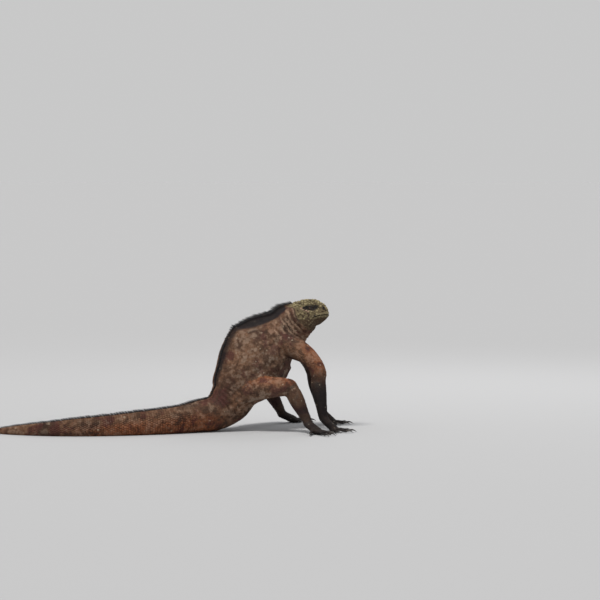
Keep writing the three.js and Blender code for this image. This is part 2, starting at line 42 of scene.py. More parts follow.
mm = 0.001
planCentre = np.array((-0.1417, 0.0188, 0.0))  # what the stations are moved by, to centre the plan

# Body stations from snout to tail tip: centre, the side the back faces, half width, reach to back and belly
spineStations = [
    ("muzzle", (0.195, 0.017, 0.2585), (0, 0, 1), (0.005, 0.004, 0.004)),
    ("lips", (0.1928, 0.017, 0.258), (0, 0, 1), (0.0125, 0.0095, 0.0095)),
    ("nose", (0.1893, 0.017, 0.2575), (-0.02, 0, 1), (0.0165, 0.0135, 0.0145)),
    ("nostrils", (0.1845, 0.017, 0.2575), (-0.05, 0, 1), (0.019, 0.016, 0.0205)),
    ("snout", (0.1765, 0.018, 0.258), (-0.12, 0, 0.99), (0.0215, 0.0205, 0.028)),
    ("eyes", (0.163, 0.019, 0.259), (-0.22, -0.02, 0.98), (0.026, 0.026, 0.0355)),
    ("cheeks", (0.148, 0.02, 0.2545), (-0.4, -0.03, 0.91), (0.0305, 0.031, 0.038)),
    ("jaw", (0.13, 0.022, 0.243), (-0.55, -0.05, 0.83), (0.032, 0.04, 0.042)),
    ("nape", (0.1145, 0.023, 0.231), (-0.6, -0.08, 0.8), (0.034, 0.0455, 0.0485)),
    ("neck", (0.098, 0.0235, 0.218), (-0.6, -0.12, 0.8), (0.042, 0.0465, 0.0535)),
    ("shoulders", (0.08, 0.0215, 0.203), (-0.62, -0.17, 0.77), (0.052, 0.0575, 0.0575)),
    ("chest", (0.06, 0.017, 0.185), (-0.66, -0.26, 0.7), (0.061, 0.072, 0.071)),
    ("withers", (0.0495, 0.0125, 0.1715), (-0.7, -0.34, 0.63), (0.065, 0.086, 0.0755)),
    ("ribs", (0.038, 0.007, 0.156), (-0.73, -0.4, 0.55), (0.067, 0.087, 0.079)),
    ("belly", (0.0155, -0.004, 0.121), (-0.73, -0.45, 0.5), (0.064, 0.0805, 0.075)),
    ("loin", (-0.007, -0.014, 0.091), (-0.7, -0.47, 0.52), (0.051, 0.065, 0.054)),
    ("hips", (-0.026, -0.024, 0.066), (-0.6, -0.42, 0.66), (0.043, 0.0485, 0.053)),
    ("vent", (-0.055, -0.037, 0.0455), (-0.3, -0.24, 0.92), (0.037, 0.033, 0.045)),
    ("tailRoot", (-0.095, -0.06, 0.0365), (-0.08, -0.1, 1), (0.029, 0.031, 0.037)),
    ("tail1", (-0.137, -0.084, 0.0305), (0, 0, 1), (0.023, 0.027, 0.0315)),
    ("tail2", (-0.184, -0.107, 0.0275), (0, 0, 1), (0.019, 0.025, 0.0285)),
    ("tail3", (-0.236, -0.127, 0.025), (0, 0, 1), (0.0155, 0.023, 0.026)),
    ("tail4", (-0.291, -0.141, 0.022), (0, 0, 1), (0.0125, 0.0205, 0.023)),
    ("tail5", (-0.346, -0.147, 0.0195), (0, 0, 1), (0.01, 0.018, 0.0205)),
    ("tail6", (-0.401, -0.144, 0.016), (0, 0, 1), (0.008, 0.015, 0.017)),
    ("tail7", (-0.453, -0.131, 0.0125), (0, 0, 1), (0.0062, 0.0118, 0.0135)),
    ("tail8", (-0.5, -0.11, 0.0085), (0, 0, 1), (0.0044, 0.0078, 0.0095)),
    ("tailTip", (-0.538, -0.086, 0.0042), (0, 0, 1), (0.0022, 0.0036, 0.0052)),
]

# Limb stations: centre, then half sizes across and along the back of the limb
limbStations = {
    "rightArm": {
        "upper": [
            ((0.09, -0.004, 0.196), (0.02, 0.022)),
            ((0.116, -0.024, 0.184), (0.024, 0.026)),
            ((0.145, -0.04, 0.168), (0.02, 0.021)),
            ((0.165, -0.05, 0.146), (0.0175, 0.0185)),
            ((0.173, -0.055, 0.124), (0.017, 0.018)),
            ((0.173, -0.057, 0.109), (0.011, 0.012)),
        ],
        "lower": [
            ((0.174, -0.054, 0.128), (0.013, 0.013)),
            ((0.172, -0.055, 0.111), (0.016, 0.017)),
            ((0.174, -0.057, 0.086), (0.0155, 0.0165)),
            ((0.179, -0.059, 0.056), (0.0125, 0.0125)),
            ((0.182, -0.06, 0.034), (0.011, 0.0105)),
            ((0.184, -0.0605, 0.025), (0.008, 0.0075)),
        ],
        "paw": {"wrist": (0.182, -0.06, 0.031), "heading": -4, "kind": "hand", "side": -1},
    },
    "leftArm": {
        "upper": [
            ((0.09, 0.048, 0.196), (0.02, 0.022)),
            ((0.113, 0.068, 0.183), (0.024, 0.026)),
            ((0.138, 0.083, 0.165), (0.02, 0.021)),
            ((0.155, 0.093, 0.141), (0.0175, 0.0185)),
            ((0.163, 0.098, 0.121), (0.017, 0.018)),
            ((0.166, 0.101, 0.107), (0.011, 0.012)),
        ],
        "lower": [
            ((0.163, 0.098, 0.125), (0.014, 0.014)),
            ((0.165, 0.099, 0.11), (0.017, 0.018)),
            ((0.17, 0.101, 0.085), (0.0165, 0.0175)),
            ((0.176, 0.103, 0.056), (0.0125, 0.0125)),
            ((0.18, 0.104, 0.034), (0.011, 0.0105)),
            ((0.182, 0.1045, 0.025), (0.008, 0.0075)),
        ],
        "paw": {"wrist": (0.18, 0.104, 0.031), "heading": 14, "kind": "hand", "side": 1},
    },
    "rightLeg": {
        "upper": [
            ((-0.016, -0.018, 0.086), (0.024, 0.024)),
            ((0.008, -0.034, 0.092), (0.028, 0.031)),
            ((0.04, -0.05, 0.096), (0.026, 0.027)),
            ((0.074, -0.063, 0.099), (0.0225, 0.023)),
            ((0.1, -0.071, 0.1), (0.02, 0.02)),
            ((0.115, -0.075, 0.099), (0.017, 0.017)),
            ((0.125, -0.078, 0.097), (0.009, 0.009)),
        ],
        "lower": [
            ((0.107, -0.073, 0.104), (0.013, 0.013)),
            ((0.116, -0.075, 0.09), (0.018, 0.017)),
            ((0.126, -0.078, 0.07), (0.0175, 0.017)),
            ((0.138, -0.081, 0.046), (0.0135, 0.013)),
            ((0.148, -0.084, 0.027), (0.011, 0.0105)),
            ((0.152, -0.085, 0.019), (0.008, 0.008)),
        ],
        "paw": {"wrist": (0.148, -0.084, 0.022), "heading": -50, "kind": "foot", "side": -1},
    },
    "leftLeg": {
        "upper": [
            ((-0.012, 0.004, 0.082), (0.022, 0.022)),
            ((-0.01, 0.034, 0.09), (0.027, 0.03)),
            ((0.006, 0.064, 0.094), (0.026, 0.027)),
            ((0.027, 0.092, 0.097), (0.0225, 0.023)),
            ((0.044, 0.112, 0.098), (0.02, 0.02)),
            ((0.054, 0.124, 0.097), (0.017, 0.017)),
            ((0.06, 0.132, 0.095), (0.009, 0.009)),
        ],
        "lower": [
            ((0.049, 0.118, 0.102), (0.013, 0.013)),
            ((0.056, 0.124, 0.089), (0.018, 0.017)),
            ((0.066, 0.13, 0.07), (0.0175, 0.017)),
            ((0.079, 0.137, 0.046), (0.0135, 0.013)),
            ((0.089, 0.142, 0.027), (0.011, 0.0105)),
            ((0.093, 0.144, 0.019), (0.008, 0.008)),
        ],
        "paw": {"wrist": (0.089, 0.142, 0.022), "heading": 30, "kind": "foot", "side": 1},
    },
}

# Digits from the inner to the outer one: turn from the heading in degrees, length to the claw
pawShapes = {
    "hand": {
        "palm": (0.027, 0.0145, 0.008),
        "digits": [(58, 0.017), (27, 0.027), (2, 0.033), (-22, 0.032), (-52, 0.021)],
    },
    "foot": {
        "palm": (0.034, 0.015, 0.0085),
        "digits": [(46, 0.019), (24, 0.030), (5, 0.041), (-13, 0.050), (-46, 0.031)],
    },
}
digit = {"radius": 0.0044, "tip": 0.0032, "arch": 0.0022, "back": 0.007}
claw = {"radius": 0.0025, "length": 0.013, "arch": 0.003, "sunk": 0.004, "tipHeight": 0.0013}


def unit(v):
    return v / np.maximum(np.linalg.norm(v, axis=-1, keepdims=True), 1e-12)


def smoothStep(x, low, high):
    w = np.clip((x - low) / (high - low), 0, 1)
    return w * w * (3 - 2 * w)


def bump(x, middle, width):
    return np.exp(-(((x - middle) / width) ** 2))


def catmullRom(points, t):
    # the smooth curve through the points, for t from 0 to 1
    points = np.asarray(points, float)
    padded = np.vstack([2 * points[0] - points[1], points, 2 * points[-1] - points[-2]])
    place = np.clip(np.atleast_1d(t), 0, 1) * (len(points) - 1)
    i = np.minimum(place.astype(int), len(points) - 2)
    w = (place - i)[:, None]
    a, b, c, d = (padded[i + k] for k in range(4))
    return b + 0.5 * w * (c - a + w * (2 * a - 5 * b + 4 * c - d + w * (3 * (b - c) + d - a)))


class Tube:
    # a smooth tube of flesh through stations, as the solids have
    def __init__(self, part, centres, halves, backs=None, samples=60):
        self.part = part
        self.centres = np.asarray(centres, float) - planCentre
        self.halves = np.array([h if len(h) == 3 else (h[0], h[1], h[1]) for h in halves])
        self.backs = np.asarray(backs if backs is not None else [(0.3, 0, 1)] * len(centres), float)
        self.grid = np.linspace(0, 1, samples)
        self.marks = self.frame(self.grid)
        steps = np.linalg.norm(np.diff(self.marks["centre"], axis=0), axis=1)
        self.lengths = np.concatenate([[0], np.cumsum(steps)])

    def frame(self, t):
        t = np.atleast_1d(np.asarray(t, float))
        centre, half = catmullRom(self.centres, t), catmullRom(self.halves, t)
        tangent = unit(catmullRom(self.centres, t + 1e-4) - catmullRom(self.centres, t - 1e-4))
        back = catmullRom(self.backs, t)
        back = unit(back - (back * tangent).sum(1, keepdims=True) * tangent)
        side = np.cross(tangent, back)
        return {"centre": centre, "tangent": tangent, "back": back, "side": side, "half": half}

    def point(self, t, angle, grown=0.0, square=2.0):
        f = self.frame(t)
        angle = np.broadcast_to(np.asarray(angle, float), f["centre"].shape[:1])
        power = 2 / np.broadcast_to(square, angle.shape)
        across = np.sign(np.sin(angle)) * np.abs(np.sin(angle)) ** power
        up = np.sign(np.cos(angle)) * np.abs(np.cos(angle)) ** power
        tall = np.where(up > 0, f["half"][:, 1], f["half"][:, 2])
        wide = f["half"][:, 0] + grown
        return f["centre"] + (across * wide)[:, None] * f["side"] + (up * (tall + grown))[:, None] * f["back"]

    def lengthAt(self, t):
        return np.interp(t, self.grid, self.lengths)

    def placeAt(self, length):
        return np.interp(length, self.lengths, self.grid)


stationNames, centres, backs, halves = zip(*spineStations)
spine = Tube("body", centres, halves, backs, samples=700)


def at(name):
    return stationNames.index(name) / (len(stationNames) - 1)


# The head, as the solids have it: brows, eye hollows, jaw muscles and lips on a squarish tube
head = {"end": at("nape"), "square": 2.5, "middle": 0.0195}
eye = {"along": 0.662, "angle": 66, "radius": 0.0076, "sunk": 0.0046}
nostril = {"along": 0.37, "angle": 52, "radius": 0.0021}
ear = {"along": 0.82, "angle": 84, "radius": 0.0056, "depth": 0.0016}
mouth = {"level": 0.253, "slope": 0.09, "corner": 0.163, "front": 0.2, "curl": 0.0035}
headForms = {  # height in mm, place along the head and its spread, angle from the top and its spread
    "brow": (3.0, eye["along"], 0.12, 42, 11),
    "socket": (-4.0, eye["along"], 0.09, eye["angle"] + 2, 15),
    "jawMuscle": (3.4, 0.81, 0.12, 112, 26),
    "lips": (1.1, 0.48, 0.18, 98, 18),
    "underJaw": (-1.0, 0.6, 0.18, 138, 20),
    "snoutTop": (-1.2, 0.5, 0.08, 0, 40),
}


def headRelief(along, degrees):
    side = np.abs(degrees)
    forms = sum(height * bump(along, place, length) * bump(side, turn, width)
                for height, place, length, turn, width in headForms.values())
    return forms * mm * (smoothStep(along, 0, 0.12) * (1 - smoothStep(along, 0.9, 1)))


def bodyPoint(t, angle, grown=0.0):
    t, angle = np.broadcast_arrays(np.atleast_1d(np.asarray(t, float)), np.asarray(angle, float))
    along = t / head["end"]
    wrapped = np.degrees((angle + math.pi) % (2 * math.pi) - math.pi)
    relief = np.where(along < 1, headRelief(np.minimum(along, 1), wrapped), 0)
    square = 2 + (head["square"] - 2) * (1 - smoothStep(along, 0.8, 1))
    return spine.point(t, angle, relief + grown, square)


def headFrame(along, degrees):
    # root, the way out, the way to the snout and the way round, on the head's surface
    t, angle = along * head["end"], math.radians(degrees)
    root = bodyPoint(t, angle)[0]
    ahead = unit(bodyPoint(t - 0.02 * head["end"], angle)[0] - root)
    around = unit(bodyPoint(t, angle + 0.06)[0] - root)
    out = unit(np.cross(ahead, around))
    if out @ (root - spine.frame(t)["centre"][0]) < 0:
        out = -out
    return root, out, ahead, np.cross(out, ahead)


def featureFrame(feature, side):
    # the head's frame at an eye, a nostril or an ear: side is 1 for the left one, -1 for the right
    return headFrame(feature["along"], side * feature["angle"])


def mouthHeight(x, curled=True):
    # height of the mouth's line, which turns down at its corner
    x = x + planCentre[0]
    line = mouth["level"] + mouth["slope"] * (x - (mouth["front"] + mouth["corner"]) / 2)
    behind = 1 - smoothStep(x, mouth["corner"] - 0.004, mouth["corner"] + 0.012)
    return line - (mouth["curl"] if curled else 0) * behind


# Meshes: a closed tube starts as a cylinder that is cut into rings and bent by place(along, angle)
def sweepMesh(sides, rings, place):
    bm = bmesh.new()
    bmesh.ops.create_cone(bm, cap_ends=True, segments=sides, radius1=1, radius2=1, depth=2)
    uprights = [e for e in bm.edges if abs(e.verts[0].co.z - e.verts[1].co.z) > 1]
    bmesh.ops.subdivide_edges(bm, edges=uprights, cuts=rings - 1, use_grid_fill=True)
    co = np.array([v.co[:] for v in bm.verts])
    where = place((co[:, 2] + 1) / 2, np.arctan2(co[:, 0], co[:, 1]))
    for v, p in zip(bm.verts, where):
        v.co = p
    return bm


def addTo(bm, part):
    mesh = bpy.data.meshes.new("part")
    part.to_mesh(mesh)
    part.free()
    bm.from_mesh(mesh)
    bpy.data.meshes.remove(mesh)


def newPiece(name, bm=None, mesh=None):
    if mesh is None:
        bmesh.ops.recalc_face_normals(bm, faces=bm.faces[:])
        mesh = bpy.data.meshes.new(name)
        bm.to_mesh(mesh)
        bm.free()
    piece = bpy.data.objects.new(name, mesh)
    bpy.context.scene.collection.objects.link(piece)
    for poly in mesh.polygons:
        poly.use_smooth = True
    return piece


def dress(piece, finish):
    # the piece's material, and its body
    piece.data.materials.append(materials[finish])
    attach(piece, "root")
    return piece


# Limbs, palms and digits as tubes
tubes = [spine]
shells = []  # what is joined into the skin: place function, sides, rings
claws = []  # where each sits, the way it points and how large it is


def limbTube(part, stations):
    tube = Tube(part, [s[0] for s in stations], [s[1] for s in stations])
    tubes.append(tube)
    shells.append((tube.point, 28, 40))


def archedTube(part, start, end, radius, rise, samples=9):
    # straight tube from start to end whose radius and rise follow functions of 0 to 1
    forward = unit(end - start)
    side = unit(np.cross((0, 0, 1), forward))
    up = np.cross(forward, side)
    w = np.linspace(0, 1, samples)
    tube = Tube(part, start + planCentre + np.outer(w, end - start) + np.outer(rise(w), up),
                [(r, r) for r in radius(w)], [up] * samples, samples * 2)

    def place(along, angle):
        r = radius(along)
        return (start + np.outer(along, end - start) + np.outer(np.sin(angle) * r, side)
                + np.outer(np.cos(angle) * r + rise(along), up))
    return tube, place


def toeRadius(along):
    taper = digit["radius"] + (digit["tip"] - digit["radius"]) * along
    knuckles = 1 + 0.09 * np.cos(along * 6 * math.pi)  # swollen joints
    return taper * knuckles * np.sqrt(np.clip(1 - np.maximum(0, (along - 0.8) / 0.2) ** 2 * 0.9, 0.06, 1))


def makePaw(part, paw):
    # a palm from the wrist down to the knuckles, and five digits that fan out from there
    length, halfWidth, halfHeight = pawShapes[paw["kind"]]["palm"]
    angle = math.radians(paw["heading"])
    forward = np.array((math.cos(angle), math.sin(angle), 0))
    across = np.array((-math.sin(angle), math.cos(angle), 0))
    flat, wrist = np.array((1, 1, 0)), np.array(paw["wrist"])
    knuckles = (wrist + forward * length) * flat + (0, 0, halfHeight - 0.0012)
    middle = (wrist + knuckles) / 2 * flat + (0, 0, wrist[2] * 0.42 + 0.005)
    limbTube(part + "Palm", [
        ((wrist - forward * 0.005) * flat + (0, 0, wrist[2] + 0.003), (0.009, 0.008)),
        (wrist, (0.0115, 0.01)),
        (middle, (halfWidth * 0.9, 0.009)),
        (knuckles, (halfWidth, halfHeight)),
        (knuckles + forward * 0.007, (halfWidth * 0.6, 0.0045)),
    ])
    for index, (turn, reach) in enumerate(pawShapes[paw["kind"]]["digits"]):
        spread = (index - 2) / 2 * (halfWidth - digit["radius"]) * paw["side"]
        knuckle = knuckles + across * spread - forward * (index - 2) ** 2 * 0.0016
        heading = angle - math.radians(turn) * paw["side"]
        way = np.array((math.cos(heading), math.sin(heading), 0))
        start = (knuckle - way * digit["back"]) * flat + (0, 0, digit["radius"] + 0.0017) - planCentre
        end = (knuckle + way * reach) * flat + (0, 0, digit["tip"] - 0.0003) - planCentre
        tube, place = archedTube(part + "Digit", start, end, toeRadius,
                                 lambda w: digit["arch"] * np.sin(math.pi * w))
        tubes.append(tube)
        shells.append((place, 16, 16))
        claws.append((end + (0, 0, claw["tipHeight"]), way, 0.85 + reach / 0.16))


for limbName, limb in limbStations.items():
    for length in ("upper", "lower"):
        limbTube(limbName + length.title(), limb[length])
    makePaw(limbName, limb["paw"])
shells.append((bodyPoint, 72, 300))
tubeParts = [tube.part for tube in tubes]


def isPart(place, *words):
    # which points are on a part whose name holds one of the words
    part = np.array(tubeParts)[place["tube"]]
    return np.any([np.char.find(part, word) >= 0 for word in words], axis=0)


def locate(points):
    # for each point: its tube, the place along it, the angle from its back, and the way to its end
    points = np.asarray(points)
    count = len(points)
    best, bestTube = np.full(count, 1e9), np.zeros(count, int)
    bestMark = np.zeros(count, int)
    for number, tube in enumerate(tubes):
        m = tube.marks
        for low in range(0, count, 4000):  # a batch at a time, to spare memory
            p = points[low:low + 4000, None, :] - m["centre"][None]
            axial = np.einsum("ijk,jk->ij", p, m["tangent"])
            across = np.einsum("ijk,jk->ij", p, m["side"]) / m["half"][:, 0]
            up = np.einsum("ijk,jk->ij", p, m["back"])
            up = up / np.where(up > 0, m["half"][:, 1], m["half"][:, 2])
            score = across ** 2 + up ** 2 + (axial / m["half"][:, 0]) ** 2 * 6
            mark = score.argmin(1)
            value = np.abs(score[np.arange(len(mark)), mark] - 1) + (0.02 if number == 0 else 0)
            rows = np.arange(low, low + len(mark))
            closer = value < best[rows]
            rows = rows[closer]
            best[rows], bestTube[rows], bestMark[rows] = value[closer], number, mark[closer]
    t, angle, flow = np.zeros(count), np.zeros(count), np.zeros((count, 3))
    for number, tube in enumerate(tubes):
        rows = np.flatnonzero(bestTube == number)
        if len(rows) == 0:
            continue
        m, k = tube.marks, bestMark[rows]
        p = points[rows] - m["centre"][k]
        pitch = 1 / len(tube.grid)
        step = (p * m["tangent"][k]).sum(1) / max(tube.lengths[-1], 1e-6)
        t[rows] = np.clip(tube.grid[k] + np.clip(step, -pitch, pitch), 0, 1)
        across = (p * m["side"][k]).sum(1) / m["half"][k, 0]
        angle[rows] = np.arctan2(across, (p * m["back"][k]).sum(1) / m["half"][k, 1])
        flow[rows] = m["tangent"][k]
    return {"tube": bestTube, "t": t, "angle": angle, "flow": flow}


# Skin: every shell joined, remeshed to one surface, smoothed where limbs grow out, then folded
skinLook = {"voxel": 0.0023, "inset": 0.0006, "blendSteps": 22, "softSteps": 3}
limbRoots = [(0.112, -0.022, 0.188), (0.108, 0.064, 0.187), (0.018, -0.044, 0.094), (-0.004, 0.048, 0.092)]


def meshArrays(mesh):
    co = np.empty(len(mesh.vertices) * 3)
    mesh.vertices.foreach_get("co", co)
    normal = np.empty(len(mesh.vertices) * 3)
    mesh.vertices.foreach_get("normal", normal)
    return co.reshape(-1, 3), normal.reshape(-1, 3)


def relax(co, mesh, weight, steps):
    # Laplacian smoothing, weighted per vertex
    edges = np.empty(len(mesh.edges) * 2, int)
    mesh.edges.foreach_get("vertices", edges)
    edges = edges.reshape(-1, 2)
    degree = np.bincount(edges.ravel(), minlength=len(co))[:, None]
    for _ in range(steps):
        total = np.zeros_like(co)
        np.add.at(total, edges[:, 0], co[edges[:, 1]])
        np.add.at(total, edges[:, 1], co[edges[:, 0]])
        co = co + (total / np.maximum(degree, 1) - co) * (0.5 * weight[:, None])
    return co


def jointWeight(co):
    # 1 near the creases where a limb meets the body, less where one length of a limb meets the next
    weight = np.zeros(len(co))
    joints = [(spot, 0.03, 0.055, 1.0) for spot in limbRoots]
    for limb in limbStations.values():
        joints += [(limb["lower"][1][0], 0.015, 0.03, 0.6), (limb["paw"]["wrist"], 0.01, 0.02, 0.6)]
    for spot, near, far, most in joints:
        away = np.linalg.norm(co - (np.array(spot) - planCentre), axis=1)
        weight = np.maximum(weight, (1 - smoothStep(away, near, far)) * most)
    return weight


paleFolds = [  # pale ridges behind and under the jaw: ends as x and height, and half width
    ((0.1019, 0.2625), (0.1197, 0.2321), 0.0022),
    ((0.1247, 0.2490), (0.1500, 0.2237), 0.0027),
    ((0.1150, 0.2700), (0.1215, 0.2500), 0.0022),
]
neckFolds = [  # length from the muzzle at the flank, depth, half width, and the angle where it starts
    (0.0735, 0.0019, 0.0017, 28), (0.0825, 0.0010, 0.0018, 50), (0.0925, 0.0018, 0.0021, 38),
    (0.1065, 0.0011, 0.0022, 56), (0.1235, 0.0015, 0.0026, 50),
]
looseFolds = {  # height and pitch of the softer waves in the hide
    "throat": (0.0004, 0.009), "flank": (0.0011, 0.021), "ribs": (0.0007, 0.017), "waist": (0.0014, 0.0105),
}


def collar(t, turn, length, co):
    # relief of the neck folds, how pale their ridges are, and how much painted shade lies in the grooves
    # between
    across = length + 0.006 * np.cos(np.radians(turn) * 2) + 0.0012 * np.sin(co[:, 2] * 210 + co[:, 1] * 90)
    relief, pale, groove = np.zeros(len(t)), np.zeros(len(t)), np.zeros(len(t))
    deepest = max(fold[1] for fold in neckFolds)
    for place, depth, width, start in neckFolds:
        reach = smoothStep(turn, start, start + 22) * (1 - 0.85 * smoothStep(turn, 105, 135))
        hollow = bump(across, place, width) * reach
        ridge = bump(across, place + 2.1 * width, width * 1.2) * reach
        relief += depth * (0.45 * ridge - hollow)
        pale += ridge
        groove += hollow * depth / deepest
    band = smoothStep(t, at("cheeks"), at("jaw") - 0.004) * (1 - smoothStep(t, at("shoulders"), at("chest")))
    return relief * band, np.clip(pale, 0, 1) * band, np.clip(groove, 0, 1) * band


def folds(place, co):
    # relief of the hide in metres: loose folds of neck, throat, flanks and waist
    t, turn = place["t"], np.abs(np.degrees(place["angle"]))
    length = spine.lengthAt(t)
    wobble = 0.004 * np.sin(co[:, 1] * 70 + 1.3) + 0.003 * np.sin(co[:, 2] * 110)
    throat = smoothStep(t, at("eyes"), at("jaw")) * (1 - smoothStep(t, at("neck"), at("shoulders")))
    flank = smoothStep(t, at("shoulders"), at("chest")) * (1 - smoothStep(t, at("hips"), at("vent")))
    waist = bump(t, at("hips") + 0.006, 0.03)

    def wave(name, amount, across):
        height, pitch = looseFolds[name]
        return amount * height * np.sin(across * 2 * math.pi / pitch)

    relief = collar(t, turn, length, co)[0]
    relief = relief + wave("throat", throat * smoothStep(turn, 125, 150), length + wobble)
    relief += wave("flank", flank * bump(turn, 95, 42), np.radians(turn) * 0.07 + 0.25 * length + wobble)
    relief += wave("ribs", flank * bump(turn, 75, 35), length - 0.02 * np.radians(turn) + wobble)
    relief += wave("waist", waist * smoothStep(turn, 25, 60) * (1 - smoothStep(turn, 120, 150)), length)
    return relief * (place["tube"] == 0)


def headDetail(place, co):
    # mouth line, lips, ear hollow and creases on the head, in metres
    along, turn = place["t"] / head["end"], np.degrees(np.abs(place["angle"]))
    onHead = (place["tube"] == 0) & (along < 1.02)
    x = co[:, 0] + planCentre[0]
    gap = co[:, 2] - mouthHeight(co[:, 0])
    inMouth = smoothStep(x, mouth["corner"] - 0.004, mouth["corner"] + 0.002) * onHead
    relief = -0.0019 * bump(gap, 0, 0.00085) * inMouth
    relief += 0.0010 * (bump(gap, 0.0026, 0.0016) + bump(gap, -0.0028, 0.0018)) * inMouth
    for side in (1, -1):
        away = np.linalg.norm(co - featureFrame(ear, side)[0], axis=1)
        dish = -ear["depth"] * (1 - smoothStep(away, 0.6 * ear["radius"], ear["radius"]))
        relief += (dish + 0.0006 * bump(away, ear["radius"] * 1.15, 0.0013)) * onHead
    for side in (1, -1):
        away = np.linalg.norm((co - featureFrame(eye, side)[0]) * (1, 1, 1.25), axis=1)
        relief += 0.0007 * bump(away, 0.0128, 0.0011) * onHead - 0.0006 * bump(away, 0.0146, 0.0009) * onHead
    jowl = 0.0016 * (bump(along, 0.9, 0.045) * bump(turn, 108, 24))
    return relief + (jowl - 0.0013 * bump(along, 0.965, 0.018) * smoothStep(turn, 55, 80)) * onHead


def refineHead(mesh):
    # the head's faces are cut once more, for the folds and the mouth
    bm = bmesh.new()
    bm.from_mesh(mesh)
    nape = spine.frame(at("nape"))
    centre, tangent = nape["centre"][0], nape["tangent"][0]
    chosen = set()
    for face in bm.faces:
        middle = face.calc_center_median()
        ahead = (np.array(middle) - centre) @ tangent < -0.002
        if ahead and middle.x > centre[0] - 0.05 and middle.z > 0.175:
            chosen.update(edge.index for edge in face.edges)
    edges = [edge for edge in bm.edges if edge.index in chosen]
    bmesh.ops.subdivide_edges(bm, edges=edges, cuts=1, use_grid_fill=True, smooth=0.6)
    bmesh.ops.triangulate(bm, faces=[f for f in bm.faces if len(f.verts) > 4])
    bm.to_mesh(mesh)
    bm.free()


def makeSkin():
    bm = bmesh.new()
    for place, sides, rings in shells:
        addTo(bm, sweepMesh(sides, rings, place))
    piece = newPiece("hide", bm)
    remesh = piece.modifiers.new("oneSurface", "REMESH")
    remesh.mode = "VOXEL"
    remesh.voxel_size = skinLook["voxel"]
    mesh = bpy.data.meshes.new_from_object(piece.evaluated_get(bpy.context.evaluated_depsgraph_get()))
    piece.modifiers.clear()
    piece.data = mesh
    co, _ = meshArrays(mesh)
    co = relax(co, mesh, np.full(len(co), 0.8), skinLook["softSteps"])
    co = relax(co, mesh, jointWeight(co), skinLook["blendSteps"])
    mesh.vertices.foreach_set("co", co.ravel())
    refineHead(mesh)
    mesh.update()
    co, normal = meshArrays(mesh)
    place = locate(co)
    relief = folds(place, co) + headDetail(place, co) - skinLook["inset"]
    relief = np.where(co[:, 2] < 0.0016, np.minimum(relief, 0), relief)  # flat where it rests
    co = co + normal * relief[:, None]
    co[:, 2] = np.maximum(co[:, 2], 0.0003)
    mesh.vertices.foreach_set("co", co.ravel())
    mesh.update()
    for poly in mesh.polygons:
        poly.use_smooth = True
    return piece


skin = makeSkin()
print("skin", len(skin.data.vertices), "vertices", len(skin.data.polygons), "faces")
skinCo, skinNormal = meshArrays(skin.data)
skinPlace = locate(skinCo)
skinTree = BVHTree.FromPolygons([Vector(c) for c in skinCo], [tuple(p.vertices) for p in skin.data.polygons])


def onSkin(point):
    # the nearest point of the skin, with its normal
    where, normal, _, _ = skinTree.find_nearest(Vector(point))
    return np.array(where), np.array(normal)


# Markings, painted shade and painted light shared by skin and scales: one float attribute each, from the
# place on the animal
def crestBand(t, turn, headward):
    # the blue-black saddle and stripe down the back
    lowBack = smoothStep(t, at("shoulders"), at("ribs"))
    band = smoothStep(headward, 0.86, 0.97) * (1 - 0.75 * smoothStep(t, at("loin"), at("vent")))
    width = 33 - 19 * lowBack
    return band * (1 - 0.35 * lowBack) * (1 - smoothStep(turn, width - 7, width + 14))


def paintedFaceShade(co):
    # painted shade: the dark ellipse through each eye, where the brow shades its hollow, and the dark ring
    # round each nostril's opening
    dark = np.zeros(len(co))
    for side in (1, -1):
        root, _, ahead, _ = featureFrame(eye, side)
        along = (co - root) @ ahead
        rest = np.linalg.norm(co - root - along[:, None] * ahead, axis=1)
        ring = np.sqrt(((along + 0.0003) / 0.0205) ** 2 + (rest / 0.0072) ** 2)
        nose = np.linalg.norm(co - featureFrame(nostril, side)[0], axis=1)
        dark = np.maximum.reduce(
            [dark, 1 - smoothStep(ring, 0.75, 1.15), 1 - smoothStep(nose, 0.0034, 0.0052)])
    return dark


def paleMarks(co, pale, onNeck):
    # the ridges of the neck's folds and the pale folds under the jaw
    spot = np.stack([co[:, 0] + planCentre[0], co[:, 2]], 1)
    for start, end, width in paleFolds:
        start, way = np.array(start), np.array(end) - np.array(start)
        share = np.clip((spot - start) @ way / (way @ way), 0, 1)
        away = np.linalg.norm(spot - start - share[:, None] * way, axis=1)
        pale = np.maximum(pale, bump(away, 0, width) * onNeck)
    return pale


